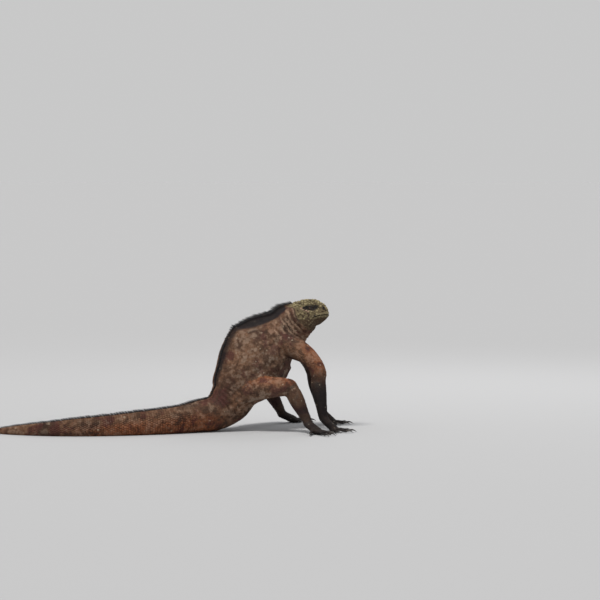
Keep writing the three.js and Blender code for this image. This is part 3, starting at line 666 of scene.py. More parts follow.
def markingsAndPaintedLight(place, co):
    t, turn = place["t"], np.abs(np.degrees(place["angle"]))
    body = place["tube"] == 0
    upper, lower = isPart(place, "Upper"), isPart(place, "Lower")
    leg = isPart(place, "Leg")
    arm = ~leg
    headward = t / head["end"]
    border = 0.81 + 0.05 * bump(turn, 88, 38) + 0.08 * (1 - smoothStep(turn, 22, 50))  # where the olive ends
    onHead = body * (1 - smoothStep(headward, border - 0.025, border + 0.03))
    onNeck = smoothStep(headward, border + 0.005, border + 0.03) * (t < at("shoulders"))
    rump = smoothStep(t, at("belly"), at("loin")) * (1 - smoothStep(t, at("vent"), at("tailRoot")))
    x, z, line = co[:, 0] + planCentre[0], co[:, 2], mouthHeight(co[:, 0], curled=False)
    lipsHere = smoothStep(x, mouth["corner"] - 0.003, mouth["corner"] + 0.002)
    _, ridges, groove = collar(t, turn, spine.lengthAt(t), co)
    # dark holds the back's own saddle and the paws' tone, and painted shade on the arms, round the eyes and
    # nostrils, in the mouth line and in the neck's grooves
    dark = np.maximum.reduce([
        body * crestBand(t, turn, headward),
        body * 0.36 * rump * (1 - smoothStep(turn, 60, 120)),
        0.7 * isPart(place, "Palm") + 0.8 * isPart(place, "Digit")
        # on the forearm this is painted shade; the shin grows darker towards the foot
        + lower * np.where(leg, 0.34 + 0.36 * t, 0.46 + 0.26 * smoothStep(t, 0.05, 0.5)),
        # painted shade over the upper arm, deepening towards the elbow
        upper * arm * (0.12 + 0.38 * smoothStep(t, 0.45, 0.9)),
        # painted shade on the underside of the upper arm
        upper * arm * 0.5 * smoothStep(turn, 100, 160),
        # painted shade round the eyes and the nostrils
        0.85 * paintedFaceShade(co) * onHead,
        # painted shade in the crease of the mouth line
        onHead * bump(z, line, 0.0011) * lipsHere,
        # painted shade in the grooves between the neck's folds
        0.5 * groove * body,
        body * 0.62 * bump(headward, border + 0.012, 0.011) * smoothStep(turn, 14, 30) * (turn < 100),
    ])
    grownIn = smoothStep(t, 0.08, 0.5)
    thigh, shoulderTop = 0.8 - 0.2 * t, 0.46 * grownIn * (1 - 0.7 * smoothStep(t, 0.6, 0.95))
    tailSide = smoothStep(t, at("hips"), at("tailRoot")) * (1 - smoothStep(t, at("tail3"), at("tail7")))
    rust = np.maximum.reduce([
        upper * (0.45 + 0.55 * np.cos(place["angle"])) * np.where(leg, thigh, shoulderTop)
        + (upper * grownIn * 0.24 + lower * 0.24 * (1 - smoothStep(t, 0.05, 0.4))) * arm,
        body * tailSide * (0.2 + 0.6 * smoothStep(turn, 50, 120)),
        body * 0.35 * bump(t, at("shoulders"), 0.05) * bump(turn, 62, 22),
        body * 0.3 * rump * (turn < 130),
    ])
    # ash grey of the flanks and the thigh's underside; the lift at the ribs, where the chest bulges towards
    # the light, is painted light
    ashAndPaintedLight = body * bump(t, at("ribs"), 0.09) * bump(turn, 100, 45) * 1.25 + leg * upper * bump(turn, 180, 70)
    return {"dark": dark, "rust": np.clip(rust, 0, 1), "ashAndPaintedLight": np.clip(ashAndPaintedLight, 0, 1), "olive": onHead,
            # painted shade: the dark brown below the lower lip, under the jaw
            "jaw": onHead * smoothStep(line - z, 0.0035, 0.0075),
            "pale": paleMarks(co, ridges, onNeck) * body}


def setMarkings(mesh, values):
    for name, value in values.items():
        layer = mesh.attributes.new(name, "FLOAT", "POINT")
        layer.data.foreach_set("value", np.ascontiguousarray(value, dtype=np.float32))


setMarkings(skin.data, {**markingsAndPaintedLight(skinPlace, skinCo), "shade": np.full(len(skinCo), 0.5)})


# Scale shapes: a rim of edges about a face, raised step by step into a small closed solid
def rimShape(sides):
    bm = bmesh.new()
    bmesh.ops.create_circle(bm, cap_ends=True, segments=sides, radius=1)
    return bm, bm.faces[:]


def raiseFace(bm, top, first=False):
    made = bmesh.ops.extrude_face_region(bm, geom=top, use_keep_orig=first)["geom"]
    return ([g for g in made if isinstance(g, bmesh.types.BMVert)],
            [g for g in made if isinstance(g, bmesh.types.BMFace)])


def shapeArrays(bm):
    bmesh.ops.recalc_face_normals(bm, faces=bm.faces[:])
    bmesh.ops.triangulate(bm, faces=bm.faces[:])
    co = np.array([v.co[:] for v in bm.verts])
    faces = np.array([[v.index for v in f.verts] for f in bm.faces])
    bm.free()
    return co, faces


def studShape(sides, steps, lean=0.0, squareness=0.0):
    # steps are (radius, height), from a foot of radius 1
    bm, top = rimShape(sides)
    radius, height = 1.0, 0.0
    for newRadius, newHeight in steps:
        verts, top = raiseFace(bm, top, height == 0)
        bmesh.ops.scale(bm, vec=(newRadius / radius, newRadius / radius, 1), verts=verts)
        bmesh.ops.translate(bm, vec=(lean * (newHeight - height), 0, newHeight - height), verts=verts)
        radius, height = newRadius, newHeight
    co, faces = shapeArrays(bm)
    if squareness:
        co[:, :2] *= 1 + squareness * np.abs(np.sin(2 * np.arctan2(co[:, 1], co[:, 0])))[:, None] ** 2
    return co, faces


def bladeShape():
    # a spine of the crest, which tapers and curves back as it rises; x is towards the tail
    steps = [(1.0, 0.0), (0.97, 0.16), (0.86, 0.38), (0.68, 0.6), (0.42, 0.82), (0.14, 0.97)]
    foot = -0.2
    bm, top = rimShape(8)
    radius, height = 1.0, foot
    bmesh.ops.translate(bm, vec=(0, 0, foot), verts=bm.verts[:])
    for newRadius, newHeight in steps:
        verts, top = raiseFace(bm, top, height == foot)
        middle = sum(v.co.x for v in verts) / len(verts)
        bmesh.ops.translate(bm, vec=(-middle, 0, newHeight - height), verts=verts)
        bmesh.ops.scale(bm, vec=(newRadius / radius, newRadius / radius, 1), verts=verts)
        bmesh.ops.translate(bm, vec=(max(newHeight, 0) ** 1.8 * 0.9, 0, 0), verts=verts)
        radius, height = newRadius, newHeight
    return shapeArrays(bm)


def keeledPlate():
    # a four-sided plate of the tail, whose long ridge rises to its rear edge
    bm, base = rimShape(8)
    for v in bm.verts:
        turn = math.atan2(v.co.y, v.co.x)
        reach = 1 / max(abs(math.cos(turn)), abs(math.sin(turn)))
        v.co = v.co * (1 + (reach - 1) * 0.8)
    verts, top = raiseFace(bm, base, True)
    bmesh.ops.translate(bm, vec=(0, 0, 0.35), verts=verts)
    bmesh.ops.scale(bm, vec=(0.93, 0.9, 1), verts=verts)
    verts, _ = raiseFace(bm, top)
    bmesh.ops.scale(bm, vec=(0.8, 0.22, 1), verts=verts)
    for v in verts:
        v.co.z += 0.35 + 0.3 * (v.co.x + 0.8)
    return shapeArrays(bm)


shapes = {
    "grain": studShape(6, [(0.84, 0.6), (0.26, 1.0)], lean=0.3),
    "keel": studShape(6, [(0.8, 0.5), (0.2, 1.0)], lean=0.55),
    "cone": studShape(7, [(0.94, 0.22), (0.62, 0.7), (0.16, 1.0)], lean=0.1),
    "plate": studShape(8, [(0.9, 0.7), (0.6, 1.0)], squareness=0.16),
    "blade": bladeShape(),
    "tailPlate": keeledPlate(),
}
patch = 0.0015  # half the side of one scale's patch on the OFBake map


def chartOf(place):
    # unwrap of the skin's own shape: a strip for each tube, along by around
    tube = place["tube"]
    v = place["angle"] / (2 * math.pi) + 0.5
    strip = 0.45 / (len(tubes) - 1)
    row = np.where(tube == 0, 0.01 + 0.5 * v, 0.54 + (tube - 1) * strip + 0.9 * strip * v)
    return np.stack([0.01 + 0.98 * place["t"], row], 1)


def level(flow, normal):
    # the part of the way that lies in the skin
    return unit(flow - (flow * normal).sum(1, keepdims=True) * normal)


def turned(flow, normal, most):
    # the way in the skin, turned at random by up to most radians
    flow = level(flow, normal)
    turn = (rng.random(len(flow)) * 2 - 1)[:, None] * most
    return flow * np.cos(turn) + np.cross(normal, flow) * np.sin(turn)


def scatterScales(name, shape, roots, flow, normal, size, finish, sink=0.0, shade=None, place=None):
    # a shape set on the skin at each root, in as many pieces as the limit asks for
    # size is (along, across, tall)
    limit = 190000
    base, faces = shapes[shape]
    place = place or locate(roots)
    root = roots - normal * sink
    flow = level(flow, normal)
    across = np.cross(normal, flow)
    count = len(root)
    groups = np.array_split(np.argsort(root[:, 0]), max(1, math.ceil(count * len(faces) / limit)))
    shade = rng.random(count) if shade is None else shade
    marks = {**markingsAndPaintedLight(place, root), "shade": shade}
    chart = chartOf(place)
    for number, rows in enumerate(groups):
        local = base[None] * size[rows][:, None, :]
        co = (root[rows][:, None] + local[:, :, :1] * flow[rows][:, None]
              + local[:, :, 1:2] * across[rows][:, None] + local[:, :, 2:] * normal[rows][:, None])
        co[:, :, 2] = np.maximum(co[:, :, 2], 0.0001)  # nothing under the floor
        allFaces = (faces[None] + np.arange(len(rows))[:, None, None] * len(base)).reshape(-1, 3)
        mesh = bpy.data.meshes.new(name)
        mesh.vertices.add(len(rows) * len(base))
        mesh.vertices.foreach_set("co", co.ravel())
        mesh.loops.add(allFaces.size)
        mesh.loops.foreach_set("vertex_index", allFaces.ravel().astype(np.int32))
        mesh.polygons.add(len(allFaces))
        mesh.polygons.foreach_set("loop_start", np.arange(0, allFaces.size, 3, dtype=np.int32))
        mesh.update(calc_edges=True)
        setMarkings(mesh, {key: np.repeat(value[rows], len(base)) for key, value in marks.items()})
        uv = chart[rows][:, None] + base[None, :, :2] * patch
        mesh.uv_layers.new(name="OFBake").data.foreach_set("uv", uv.reshape(-1, 2)[allFaces.ravel()].ravel())
        dress(newPiece(name if len(groups) == 1 else f"{name}{number + 1}", mesh=mesh), finish)
    print(name, count, "scales", count * len(faces), "triangles")


# Materials. Link wraps a socket, so that shader maths reads as Python
class Link:
    tree = None

    def __init__(self, socket):
        self.socket = socket

    @staticmethod
    def make(kind, settings=None, inputs=None, output=0):
        node = Link.tree.nodes.new(kind)
        for key, value in (settings or {}).items():
            if key == "stops":
                for number, (place, colour) in enumerate(value):
                    stops = node.color_ramp.elements
                    stop = stops[number] if number < len(stops) else stops.new(place)
                    stop.position, stop.color = place, (*colour, 1)
            else:
                setattr(node, key, value)
        for key, value in (inputs or {}).items():
            if isinstance(value, Link):
                Link.tree.links.new(value.socket, node.inputs[key])
            else:
                node.inputs[key].default_value = value
        return Link(node.outputs[output])

    def maths(self, operation, other, flip=False):
        first, second = (other, self) if flip else (self, other)
        return Link.make("ShaderNodeMath", {"operation": operation}, {0: first, 1: second})

    def __add__(self, other):
        return self.maths("ADD", other)

    def __radd__(self, other):
        return self.maths("ADD", other, True)

    def __sub__(self, other):
        return self.maths("SUBTRACT", other)

    def __rsub__(self, other):
        return self.maths("SUBTRACT", other, True)

    def __mul__(self, other):
        return self.maths("MULTIPLY", other)

    def __rmul__(self, other):
        return self.maths("MULTIPLY", other, True)


def srgb(r, g, b):
    tones = (r / 255, g / 255, b / 255)
    return tuple(c / 12.92 if c <= 0.04045 else ((c + 0.055) / 1.055) ** 2.4 for c in tones)


def mixColour(a, b, factor, blend="MIX"):
    wrap = lambda c: c if isinstance(c, Link) else (*c, 1)
    settings = {"data_type": "RGBA", "blend_type": blend}
    return Link.make("ShaderNodeMix", settings, {0: factor, 6: wrap(a), 7: wrap(b)}, 2)


def greyOver(colour, value, low, span):
    # the colour times a grey that goes from low up by span as the value goes from 0 to 1
    grey = Link.make("ShaderNodeCombineColor", inputs={k: low + value * span for k in (0, 1, 2)})
    return mixColour(colour, grey, 1.0, "MULTIPLY")


def attribute(name):
    return Link.make("ShaderNodeAttribute", {"attribute_name": name}, output=2)


def noise(scale, detail=3.0, rough=0.6):
    where = Link.make("ShaderNodeTexCoord", output=3)
    return Link.make("ShaderNodeTexNoise",
                     inputs={0: where, "Scale": scale, "Detail": detail, "Roughness": rough})


def step(value, low, high):
    return Link.make("ShaderNodeMapRange", {"interpolation_type": "SMOOTHSTEP"},
                     {0: value, 1: low, 2: high, 3: 0.0, 4: 1.0})


def newMaterial(name, build, constants):
    # build() gives what varies, as links; constants are set on the shader's own sockets
    material = bpy.data.materials.new(name)
    material.use_nodes = True
    tree = material.node_tree
    tree.nodes.clear()
    Link.tree = tree
    shader = tree.nodes.new("ShaderNodeBsdfPrincipled")
    for key, value in constants.items():
        shader.inputs[key].default_value = value
    for key, value in build().items():
        tree.links.new(value.socket, shader.inputs[key])
    out = tree.nodes.new("ShaderNodeOutputMaterial")
    tree.links.new(shader.outputs[0], out.inputs[0])
    return material


# jaw is the painted shade below the lower lip; slate is the back's own blue-black, also used for painted
# shade
hideTones = {
    "brown": srgb(110, 80, 60), "umber": srgb(59, 42, 33), "maroon": srgb(74, 40, 36),
    "ashGrey": srgb(140, 121, 105), "rust": srgb(132, 77, 47), "slate": srgb(20, 19, 22),
    "olive": srgb(103, 92, 68), "straw": srgb(160, 148, 112), "fleck": srgb(160, 148, 128),
    "jaw": srgb(66, 49, 36), "fold": srgb(150, 124, 104),
}
eyeTones = {"pupil": srgb(6, 5, 5), "inner": srgb(50, 32, 21), "outer": srgb(66, 43, 27),
            "edge": srgb(26, 20, 17), "ball": srgb(24, 18, 16)}
clawTones = {"dark": srgb(26, 23, 22), "pale": srgb(58, 48, 40)}


def hideColour(onScales):
    tones = hideTones
    dark, rust, ashAndPaintedLight, olive = (attribute(name) for name in ("dark", "rust", "ashAndPaintedLight", "olive"))
    jaw, pale = attribute("jaw"), attribute("pale")
    broad, blot, mottle, fine = noise(15, 4), noise(34, 4, 0.6), noise(85, 4, 0.65), noise(260, 2)
    colour = mixColour(tones["brown"], tones["umber"], step(broad, 0.4, 0.66))
    colour = mixColour(colour, tones["rust"], step(rust * 0.85 + (mottle - 0.5) * 0.9, 0.12, 0.75) * 0.85)
    colour = mixColour(colour, tones["maroon"], step(blot, 0.52, 0.62) * 0.8)
    # ash-grey mottling, plus painted light on the flank at the ribs
    ashAndPaintedLightMask = (0.34 + ashAndPaintedLight * 0.5) * step(mottle + (blot - 0.5) * -0.7, 0.5, 0.64) + ashAndPaintedLight * 0.16
    colour = mixColour(colour, tones["ashGrey"], ashAndPaintedLightMask)
    colour = mixColour(colour, tones["umber"], step(mottle, 0.5, 0.37) * 0.65)
    face = tones["olive"]
    if onScales:
        shade = attribute("shade")
        face = mixColour(tones["umber"], face, step(shade, 0.0, 0.4))
        face = mixColour(face, tones["straw"], step(shade, 0.7, 1.0) * 0.6)
    colour = mixColour(colour, face, olive * (0.8 + 0.2 * step(blot, 0.35, 0.6)))
    # painted shade under the jaw
    colour = mixColour(colour, tones["jaw"], jaw * 0.85)
    colour = mixColour(colour, tones["fold"], pale * step(mottle, 0.28, 0.5) * 0.85)
    # slate over dark: the back's own saddle, and painted shade
    colour = mixColour(colour, tones["slate"], step(dark + (mottle - 0.5) * 0.55, 0.25, 0.75) * 0.93)
    if onScales:
        fleck = step(shade, 0.988, 0.996) * (1 - dark * 0.7) * (1 - olive) * 0.5
        colour = greyOver(mixColour(colour, tones["fleck"], fleck), shade, 0.78, 0.4)
    return greyOver(colour, fine, 0.8, 0.4)


def hideFinish(onScales, bumpScale):
    grain = noise(1500, 2, 0.6)
    height = Link.make("ShaderNodeBump", inputs={"Strength": bumpScale, "Distance": 0.0004, "Height": grain})
    rough = 0.62 + noise(60, 3) * 0.3
    return {"Base Color": hideColour(onScales), "Roughness": rough, "Normal": height}


def headFinish():
    tones = hideTones
    shade, jaw, dark = attribute("shade"), attribute("jaw"), attribute("dark")
    broad, fine = noise(55, 3), noise(500, 2)
    colour = mixColour(tones["olive"], tones["straw"], step(shade + (broad - 0.5) * 0.6, 0.45, 1.0))
    colour = mixColour(tones["umber"], colour, step(shade, 0.05, 0.4))
    colour = mixColour(colour, tones["fold"], step(shade, 1.15, 1.3))  # the big pale scales by the eye
    # painted shade under the jaw
    colour = mixColour(colour, tones["jaw"], jaw * 0.7)
    # slate over dark: painted shade round the eyes and nostrils and in the mouth line
    colour = mixColour(colour, tones["slate"], step(dark, 0.3, 0.9) * 0.8)
    return {"Base Color": greyOver(colour, fine, 0.8, 0.4), "Roughness": 0.55 + noise(80, 2) * 0.3}


def crestFinish():
    shade, broad = attribute("shade"), noise(90, 3)
    browner = step(shade + (broad - 0.5), 0.5, 0.95) * 0.6
    return {"Base Color": mixColour(hideTones["slate"], hideTones["umber"], browner),
            "Roughness": 0.45 + noise(120, 2) * 0.3}


def clawFinish():
    return {"Base Color": mixColour(clawTones["dark"], clawTones["pale"], step(noise(150, 3), 0.4, 0.7)),
            "Roughness": 0.32 + noise(200, 2) * 0.25}


def eyeFinish():
    # the tone goes by the angle from the gaze: pupil, iris, then the dark of the ball
    stops = [(0.0, "pupil"), (0.17, "pupil"), (0.2, "inner"), (0.4, "outer"), (0.48, "edge"), (1.0, "ball")]
    ramp = {"stops": [(place, eyeTones[tone]) for place, tone in stops]}
    return {"Base Color": Link.make("ShaderNodeValToRGB", ramp, {0: attribute("gaze")})}


materials = {
    "skin": newMaterial("hideSkin", lambda: hideFinish(False, 0.5), {"Specular IOR Level": 0.2}),
    "scales": newMaterial("hideScales", lambda: hideFinish(True, 0.35), {"Specular IOR Level": 0.22}),
    "headScales": newMaterial("headScales", headFinish, {"Specular IOR Level": 0.32}),
    "crest": newMaterial("crestHorn", crestFinish, {"Specular IOR Level": 0.3}),
    "claw": newMaterial("clawHorn", clawFinish, {}),
    "eye": newMaterial("wetEye", eyeFinish,
                       {"Roughness": 0.14, "Specular IOR Level": 0.4, "Coat Weight": 0.25}),
    # the nostril's hollow is near black: painted shade inside the opening
    "hollow": newMaterial("nostrilHollow", lambda: {"Roughness": 0.7 + noise(300, 1) * 0.2},
                          {"Base Color": (*srgb(7, 6, 6), 1), "Specular IOR Level": 0.05}),
}
dress(skin, "skin")
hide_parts(*[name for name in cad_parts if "eye" not in name])
print("materials", len(materials))


def thin(co, gap, alive):
    # keeps points at least their own gap apart
    tree = kdtree.KDTree(len(co))
    for i, p in enumerate(co):
        tree.insert(p, i)
    tree.balance()
    kept = []
    for i in range(len(co)):
        if alive[i]:
            kept.append(i)
            for _, j, _ in tree.find_range(co[i], gap[i]):
                alive[j] = False
    return np.array(kept)


# Head: its heading, and rays from outside to the skin, for what sits on it
headCentre = spine.frame(at("snout"))["centre"][0]
headWay = unit((spine.frame(at("nose"))["centre"][0] - spine.frame(at("cheeks"))["centre"][0]) * (1, 1, 0))
headSide = np.array((-headWay[1], headWay[0], 0))


def aroundSnout(degrees, z):
    # where a level ray at the snout, from the heading turned by degrees, meets the skin
    turn = math.radians(degrees)
    way = headWay * math.cos(turn) + headSide * math.sin(turn)
    base = headCentre * (1, 1, 0) + (0, 0, z) - headWay * 0.012
    where, normal, _, _ = skinTree.ray_cast(Vector(base + way * 0.08), Vector(-way))
    return (np.array(where), np.array(normal)) if where else None


# Eyes, with lids that follow the ball; the gap between them is an almond
lid = {"thick": 0.0011, "outer": 80, "corner": 60, "upper": 25, "lower": 31, "tilt": 12, "grain": 0.00085}


def eyeAxes(side):
    # the ball's centre, and its ways out, ahead and up
    root, out, ahead, up = featureFrame(eye, side)
    centre = root - out * eye["sunk"]
    out = unit(out * (1, 1, 0.55))
    ahead = unit(headWay - out * (headWay @ out))
    up = unit(np.cross(out, ahead) * side * -1)
    if up[2] < 0:
        up = -up
    tilt = math.radians(lid["tilt"])
    ahead = unit(ahead * math.cos(tilt) - up * math.sin(tilt))
    return centre, out, ahead, unit(up - ahead * (up @ ahead))


# Crown: rounded cones over the snout and the top of the head, largest between the eyes
crown = {"from": 0.05, "to": 0.815, "widest": 50, "gap": 0.0054, "height": 0.0040, "seeds": 9000}


def crownEdge(along):
    return crown["widest"] - 14 * bump(along, eye["along"], 0.09) + 8 * bump(along, 0.25, 0.15)


def makeCrown():
    along = crown["from"] + (crown["to"] - crown["from"]) * rng.random(crown["seeds"])
    turn = (2 * rng.random(crown["seeds"]) - 1) * crownEdge(along)
    hits = [onSkin(p) for p in bodyPoint(along * head["end"], np.radians(turn))]
    roots, normals = np.array([h[0] for h in hits]), np.array([h[1] for h in hits])
    middle = bump(along, 0.55, 0.3) * (1 - 0.3 * np.abs(turn) / 50)
    gap = crown["gap"] * (0.72 + 0.4 * middle) * (0.92 + 0.16 * rng.random(len(roots)))
    clear = np.ones(len(roots), bool)
    for side in (1, -1):
        clear &= np.linalg.norm(roots - featureFrame(nostril, side)[0], axis=1) > 0.0058
        clear &= np.linalg.norm(roots - eyeAxes(side)[0], axis=1) > 0.0118
    kept = thin(roots, gap, clear)
    roots, normals, gap, middle = roots[kept], normals[kept], gap[kept], middle[kept]
    flow = spine.frame(np.full(len(roots), at("snout")))["tangent"]
    tall = crown["height"] * (0.5 + 0.6 * middle) * (0.8 + 0.4 * rng.random(len(roots)))
    wide = gap * 0.63
    size = np.stack([wide * (1 + 0.15 * rng.random(len(roots))), wide, tall], 1)
    shade = 0.45 + 0.55 * rng.random(len(roots))
    scatterScales("crownScales", "cone", roots, turned(flow, normals, 0.5), normals, size,
                  "headScales", sink=0.0003, shade=shade)
    return roots, wide


# Cheek: round studs below the ear, a pale row behind and under the eye, and a heavy one on the brow
cheekSpots = [  # place along the head, angle from its top, half width in mm
    (0.60, 106, 1.9), (0.645, 110, 2.2), (0.69, 113, 2.6), (0.735, 115, 2.7), (0.78, 115, 2.4),
    (0.67, 99, 1.9), (0.715, 102, 2.2), (0.755, 103, 2.1), (0.7, 125, 2.1), (0.75, 127, 2.2),
    (0.8, 104, 1.8), (0.63, 121, 1.8),
]
# x, height and half width in mm
paleSpots = [(134.6, 268.8, 3.1), (140.2, 265.4, 2.8), (145.6, 263.2, 2.8), (150.8, 261.6, 2.3)]
eyeRows = [  # start and end round the eye in degrees, half sizes of the ellipse, scales, half width, shade
    {"turns": (262, 336), "reach": (0.0158, 0.0094), "count": 5, "wide": 0.0021, "shade": 0.7},
    {"turns": (24, 172), "reach": (0.0150, 0.0100), "count": 9, "wide": 0.0022, "shade": 0.62},
]
paleShade = 1.35  # above 1, which the finish of the head reads as a pale scale


def makeCheeks():
    studs = []

    def addStud(guess, wide, flow, shade):
        studs.append((*onSkin(guess), wide, flow, shade))

    for side in (1, -1):
        for along, turn, size in cheekSpots:
            addStud(headFrame(along, side * turn)[0], size * mm, -headWay, 0.55 + 0.35 * rng.random())
        for x, z, size in paleSpots:
            guess = np.array((x * mm, head["middle"] + side * 0.03, z * mm)) - planCentre
            addStud(guess, size * mm, -headWay, paleShade)
        centre, out, ahead, up = eyeAxes(side)
        for row in eyeRows:
            a, b = row["reach"]
            for turn in np.radians(np.linspace(*row["turns"], row["count"])):
                cos, sin = math.cos(turn), math.sin(turn)
                wide = row["wide"] * (0.9 + 0.2 * rng.random())
                addStud(centre + 0.004 * out + a * cos * ahead + b * sin * up, wide,
                        -a * sin * ahead + b * cos * up, row["shade"] + 0.15 * rng.random())
    roots, normals, wide, flows, shade = (np.array([stud[k] for stud in studs]) for k in range(5))
    size = np.stack([wide * 1.1, wide * 0.9, wide * 0.55], 1)
    scatterScales("cheekScales", "cone", roots, flows, normals, size, "headScales",
                  sink=0.0003, shade=shade)
    return roots, wide


# Lips: plates in a row above and below the line of the mouth
lipScale = {"pitch": 0.0041, "above": 0.0029, "below": -0.0031, "reach": 112, "behind": 0.003,
            "size": (0.0023, 0.0021, 0.0007)}


def lipRow(offset):
    roots, normals, flows = [], [], []
    for degrees in np.arange(-lipScale["reach"], lipScale["reach"], 0.5):
        z = mouthHeight(headCentre[0])
        for _ in range(3):  # the ray's height is set anew from where it meets the skin
            hit = aroundSnout(degrees, z + offset)
            if hit is None:
                break
            z = mouthHeight(hit[0][0])
        if hit is None or hit[0][0] + planCentre[0] < mouth["corner"] - lipScale["behind"]:
            continue
        if roots:
            if np.linalg.norm(hit[0] - roots[-1]) < lipScale["pitch"]:
                continue
            flows.append(hit[0] - roots[-1])
        roots.append(hit[0])
        normals.append(hit[1])
    flows.append(flows[-1])
    return np.array(roots), np.array(normals), np.array(flows)


def makeLips():
    rows = [lipRow(lipScale["above"]), lipRow(lipScale["below"])]
    roots, normals, flows = (np.concatenate([row[k] for row in rows]) for k in range(3))
    size = np.array(lipScale["size"]) * (0.9 + 0.2 * rng.random((len(roots), 3)))
    shade = 0.35 + 0.35 * rng.random(len(roots))
    scatterScales("lipScales", "plate", roots, flows, normals, size, "headScales",
                  sink=0.0002, shade=shade)
    return roots


# Ring of a cross-section: a circle spun into a torus, then bent by place(round, section)
def ringMesh(major, minor, place):
    bm = bmesh.new()
    circle = bmesh.ops.create_circle(bm, segments=minor, radius=0.3)["verts"]
    bmesh.ops.rotate(bm, verts=circle, matrix=Matrix.Rotation(math.pi / 2, 3, "X"))
    bmesh.ops.translate(bm, verts=circle, vec=(1, 0, 0))
    bmesh.ops.spin(bm, geom=bm.verts[:] + bm.edges[:], axis=(0, 0, 1), angle=2 * math.pi,
                   steps=major, use_merge=True)
    bmesh.ops.remove_doubles(bm, verts=bm.verts[:], dist=1e-5)
    for v in bm.verts:
        r = math.hypot(v.co.x, v.co.y)
        v.co = Vector(place(math.atan2(v.co.y, v.co.x), math.atan2(v.co.z, r - 1)))
    bmesh.ops.recalc_face_normals(bm, faces=bm.faces[:])
    return bm


def ballMesh(sides, rings, radius, place):
    # a ball, each point of which is moved to place(x, y, z)
    bm = bmesh.new()
    bmesh.ops.create_uvsphere(bm, u_segments=sides, v_segments=rings, radius=radius)
    for v in bm.verts:
        v.co = Vector(place(*v.co))
    return bm


def bakePatches(piece):
    # OFBake map for smooth pieces of the coat: each vertex at its place on the skin's unwrap
    mesh = piece.data
    co, _ = meshArrays(mesh)
    place = locate(co)
    loops = np.empty(len(mesh.loops), int)
    mesh.loops.foreach_get("vertex_index", loops)
    mesh.uv_layers.new(name="OFBake").data.foreach_set("uv", chartOf(place)[loops].ravel())
    setMarkings(mesh, {**markingsAndPaintedLight(place, co), "shade": np.full(len(co), 0.5)})


def makeEyeball(side, name):
    centre, out, ahead, up = eyeAxes(side)
    ball = ballMesh(40, 28, eye["radius"] - 0.0002, lambda x, y, z: centre + ahead * x + up * y + out * z)
    piece = newPiece(name + "Eyeball", ball)
    co, _ = meshArrays(piece.data)
    gaze = np.degrees(np.arccos(np.clip(unit(co - centre) @ unit(out + 0.12 * ahead), -1, 1))) / 90
    setMarkings(piece.data, {"gaze": gaze})
    dress(piece, "eye")
    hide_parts(name + "_eye")


def lidEdge(turn):
    # the opening's half angle: wide at the corners, narrow above and below
    half = lid["upper"] if math.sin(turn) > 0 else lid["lower"]
    return lid["corner"] + (half - lid["corner"]) * abs(math.sin(turn)) ** 0.8


def makeLids(side, name):
    centre, out, ahead, up = eyeAxes(side)

    def onBall(turn, polar, radius):
        way = math.cos(turn) * ahead + math.sin(turn) * up
        return centre + radius * (math.cos(polar) * out + math.sin(polar) * way)

    def place(turn, section):
        share = 1 - (1 - math.cos(section)) / 2
        polar = math.radians(lid["outer"] + (lidEdge(turn) - lid["outer"]) * share)
        swell = 0.0004 * math.exp(-((share - 0.9) / 0.12) ** 2)
        return onBall(turn, polar, eye["radius"] + lid["thick"] * (0.55 + 0.45 * math.sin(section)) + swell)

    piece = newPiece(name + "Lids", ringMesh(56, 14, place))
    bakePatches(piece)
    dress(piece, "skin")
    roots = []
    for row in range(5):
        count = 30 + 3 * row
        for k in range(count):
            turn = 2 * math.pi * (k + 0.5 * (row % 2)) / count
            polar = math.radians(lidEdge(turn) + 3 + row * 9.5)
            if polar <= math.radians(lid["outer"] - 2):
                roots.append(onBall(turn, polar, eye["radius"] + lid["thick"] * 0.92))
    return np.array(roots), unit(np.array(roots) - centre)


def makeEyes():
    grains = []
    for side, name in ((-1, "right"), (1, "left")):
        makeEyeball(side, name)
        grains.append(makeLids(side, name))
    roots, normals = (np.concatenate([g[k] for g in grains]) for k in (0, 1))
    flow = np.tile(headWay, (len(roots), 1))
    wide = lid["grain"] * (0.85 + 0.3 * rng.random(len(roots)))
    size = np.stack([wide * 1.1, wide, wide * 0.55], 1)
    # the lid scales are kept dark: painted shade under the brow
    scatterScales("lidScales", "grain", roots, flow, normals, size, "headScales",
                  shade=0.15 + 0.35 * rng.random(len(roots)))


# Nostrils: a raised rim round a hollow, on each side of the nose; the hollow is near black, painted shade of
# the opening
rim = {"radius": nostril["radius"] * 1.4, "thick": 0.0010, "height": 0.0012, "long": 1.15, "tall": 0.9}
hollow = {"long": 0.0034, "tall": 0.0027, "height": 0.0003, "dish": 0.0006, "lift": 0.0002}


def makeNostrils():
    for side, name in ((-1, "right"), (1, "left")):
        guess, _, ahead, _ = featureFrame(nostril, side)
        root, normal = onSkin(guess)
        ahead = unit(ahead - normal * (ahead @ normal))
        across = np.cross(normal, ahead)

        def onRim(turn, section):
            r = rim["radius"] + rim["thick"] * math.cos(section)
            rise = 0.0005 + rim["height"] * math.sin(section)
            way = rim["long"] * math.cos(turn) * ahead + rim["tall"] * math.sin(turn) * across
            return root + r * way + rise * normal

        def inHollow(x, y, z):
            rise = hollow["height"] * z + hollow["dish"] * (x * x + y * y) + hollow["lift"]
            return root + hollow["long"] * x * ahead + hollow["tall"] * y * across + rise * normal

        piece = newPiece(name + "NostrilRim", ringMesh(24, 10, onRim))
        bakePatches(piece)
        dress(piece, "headScales")
        # a near-black dish inside the rim: painted shade of the nostril's opening
        dress(newPiece(name + "Nostril", ballMesh(16, 8, 1, inHollow)), "hollow")


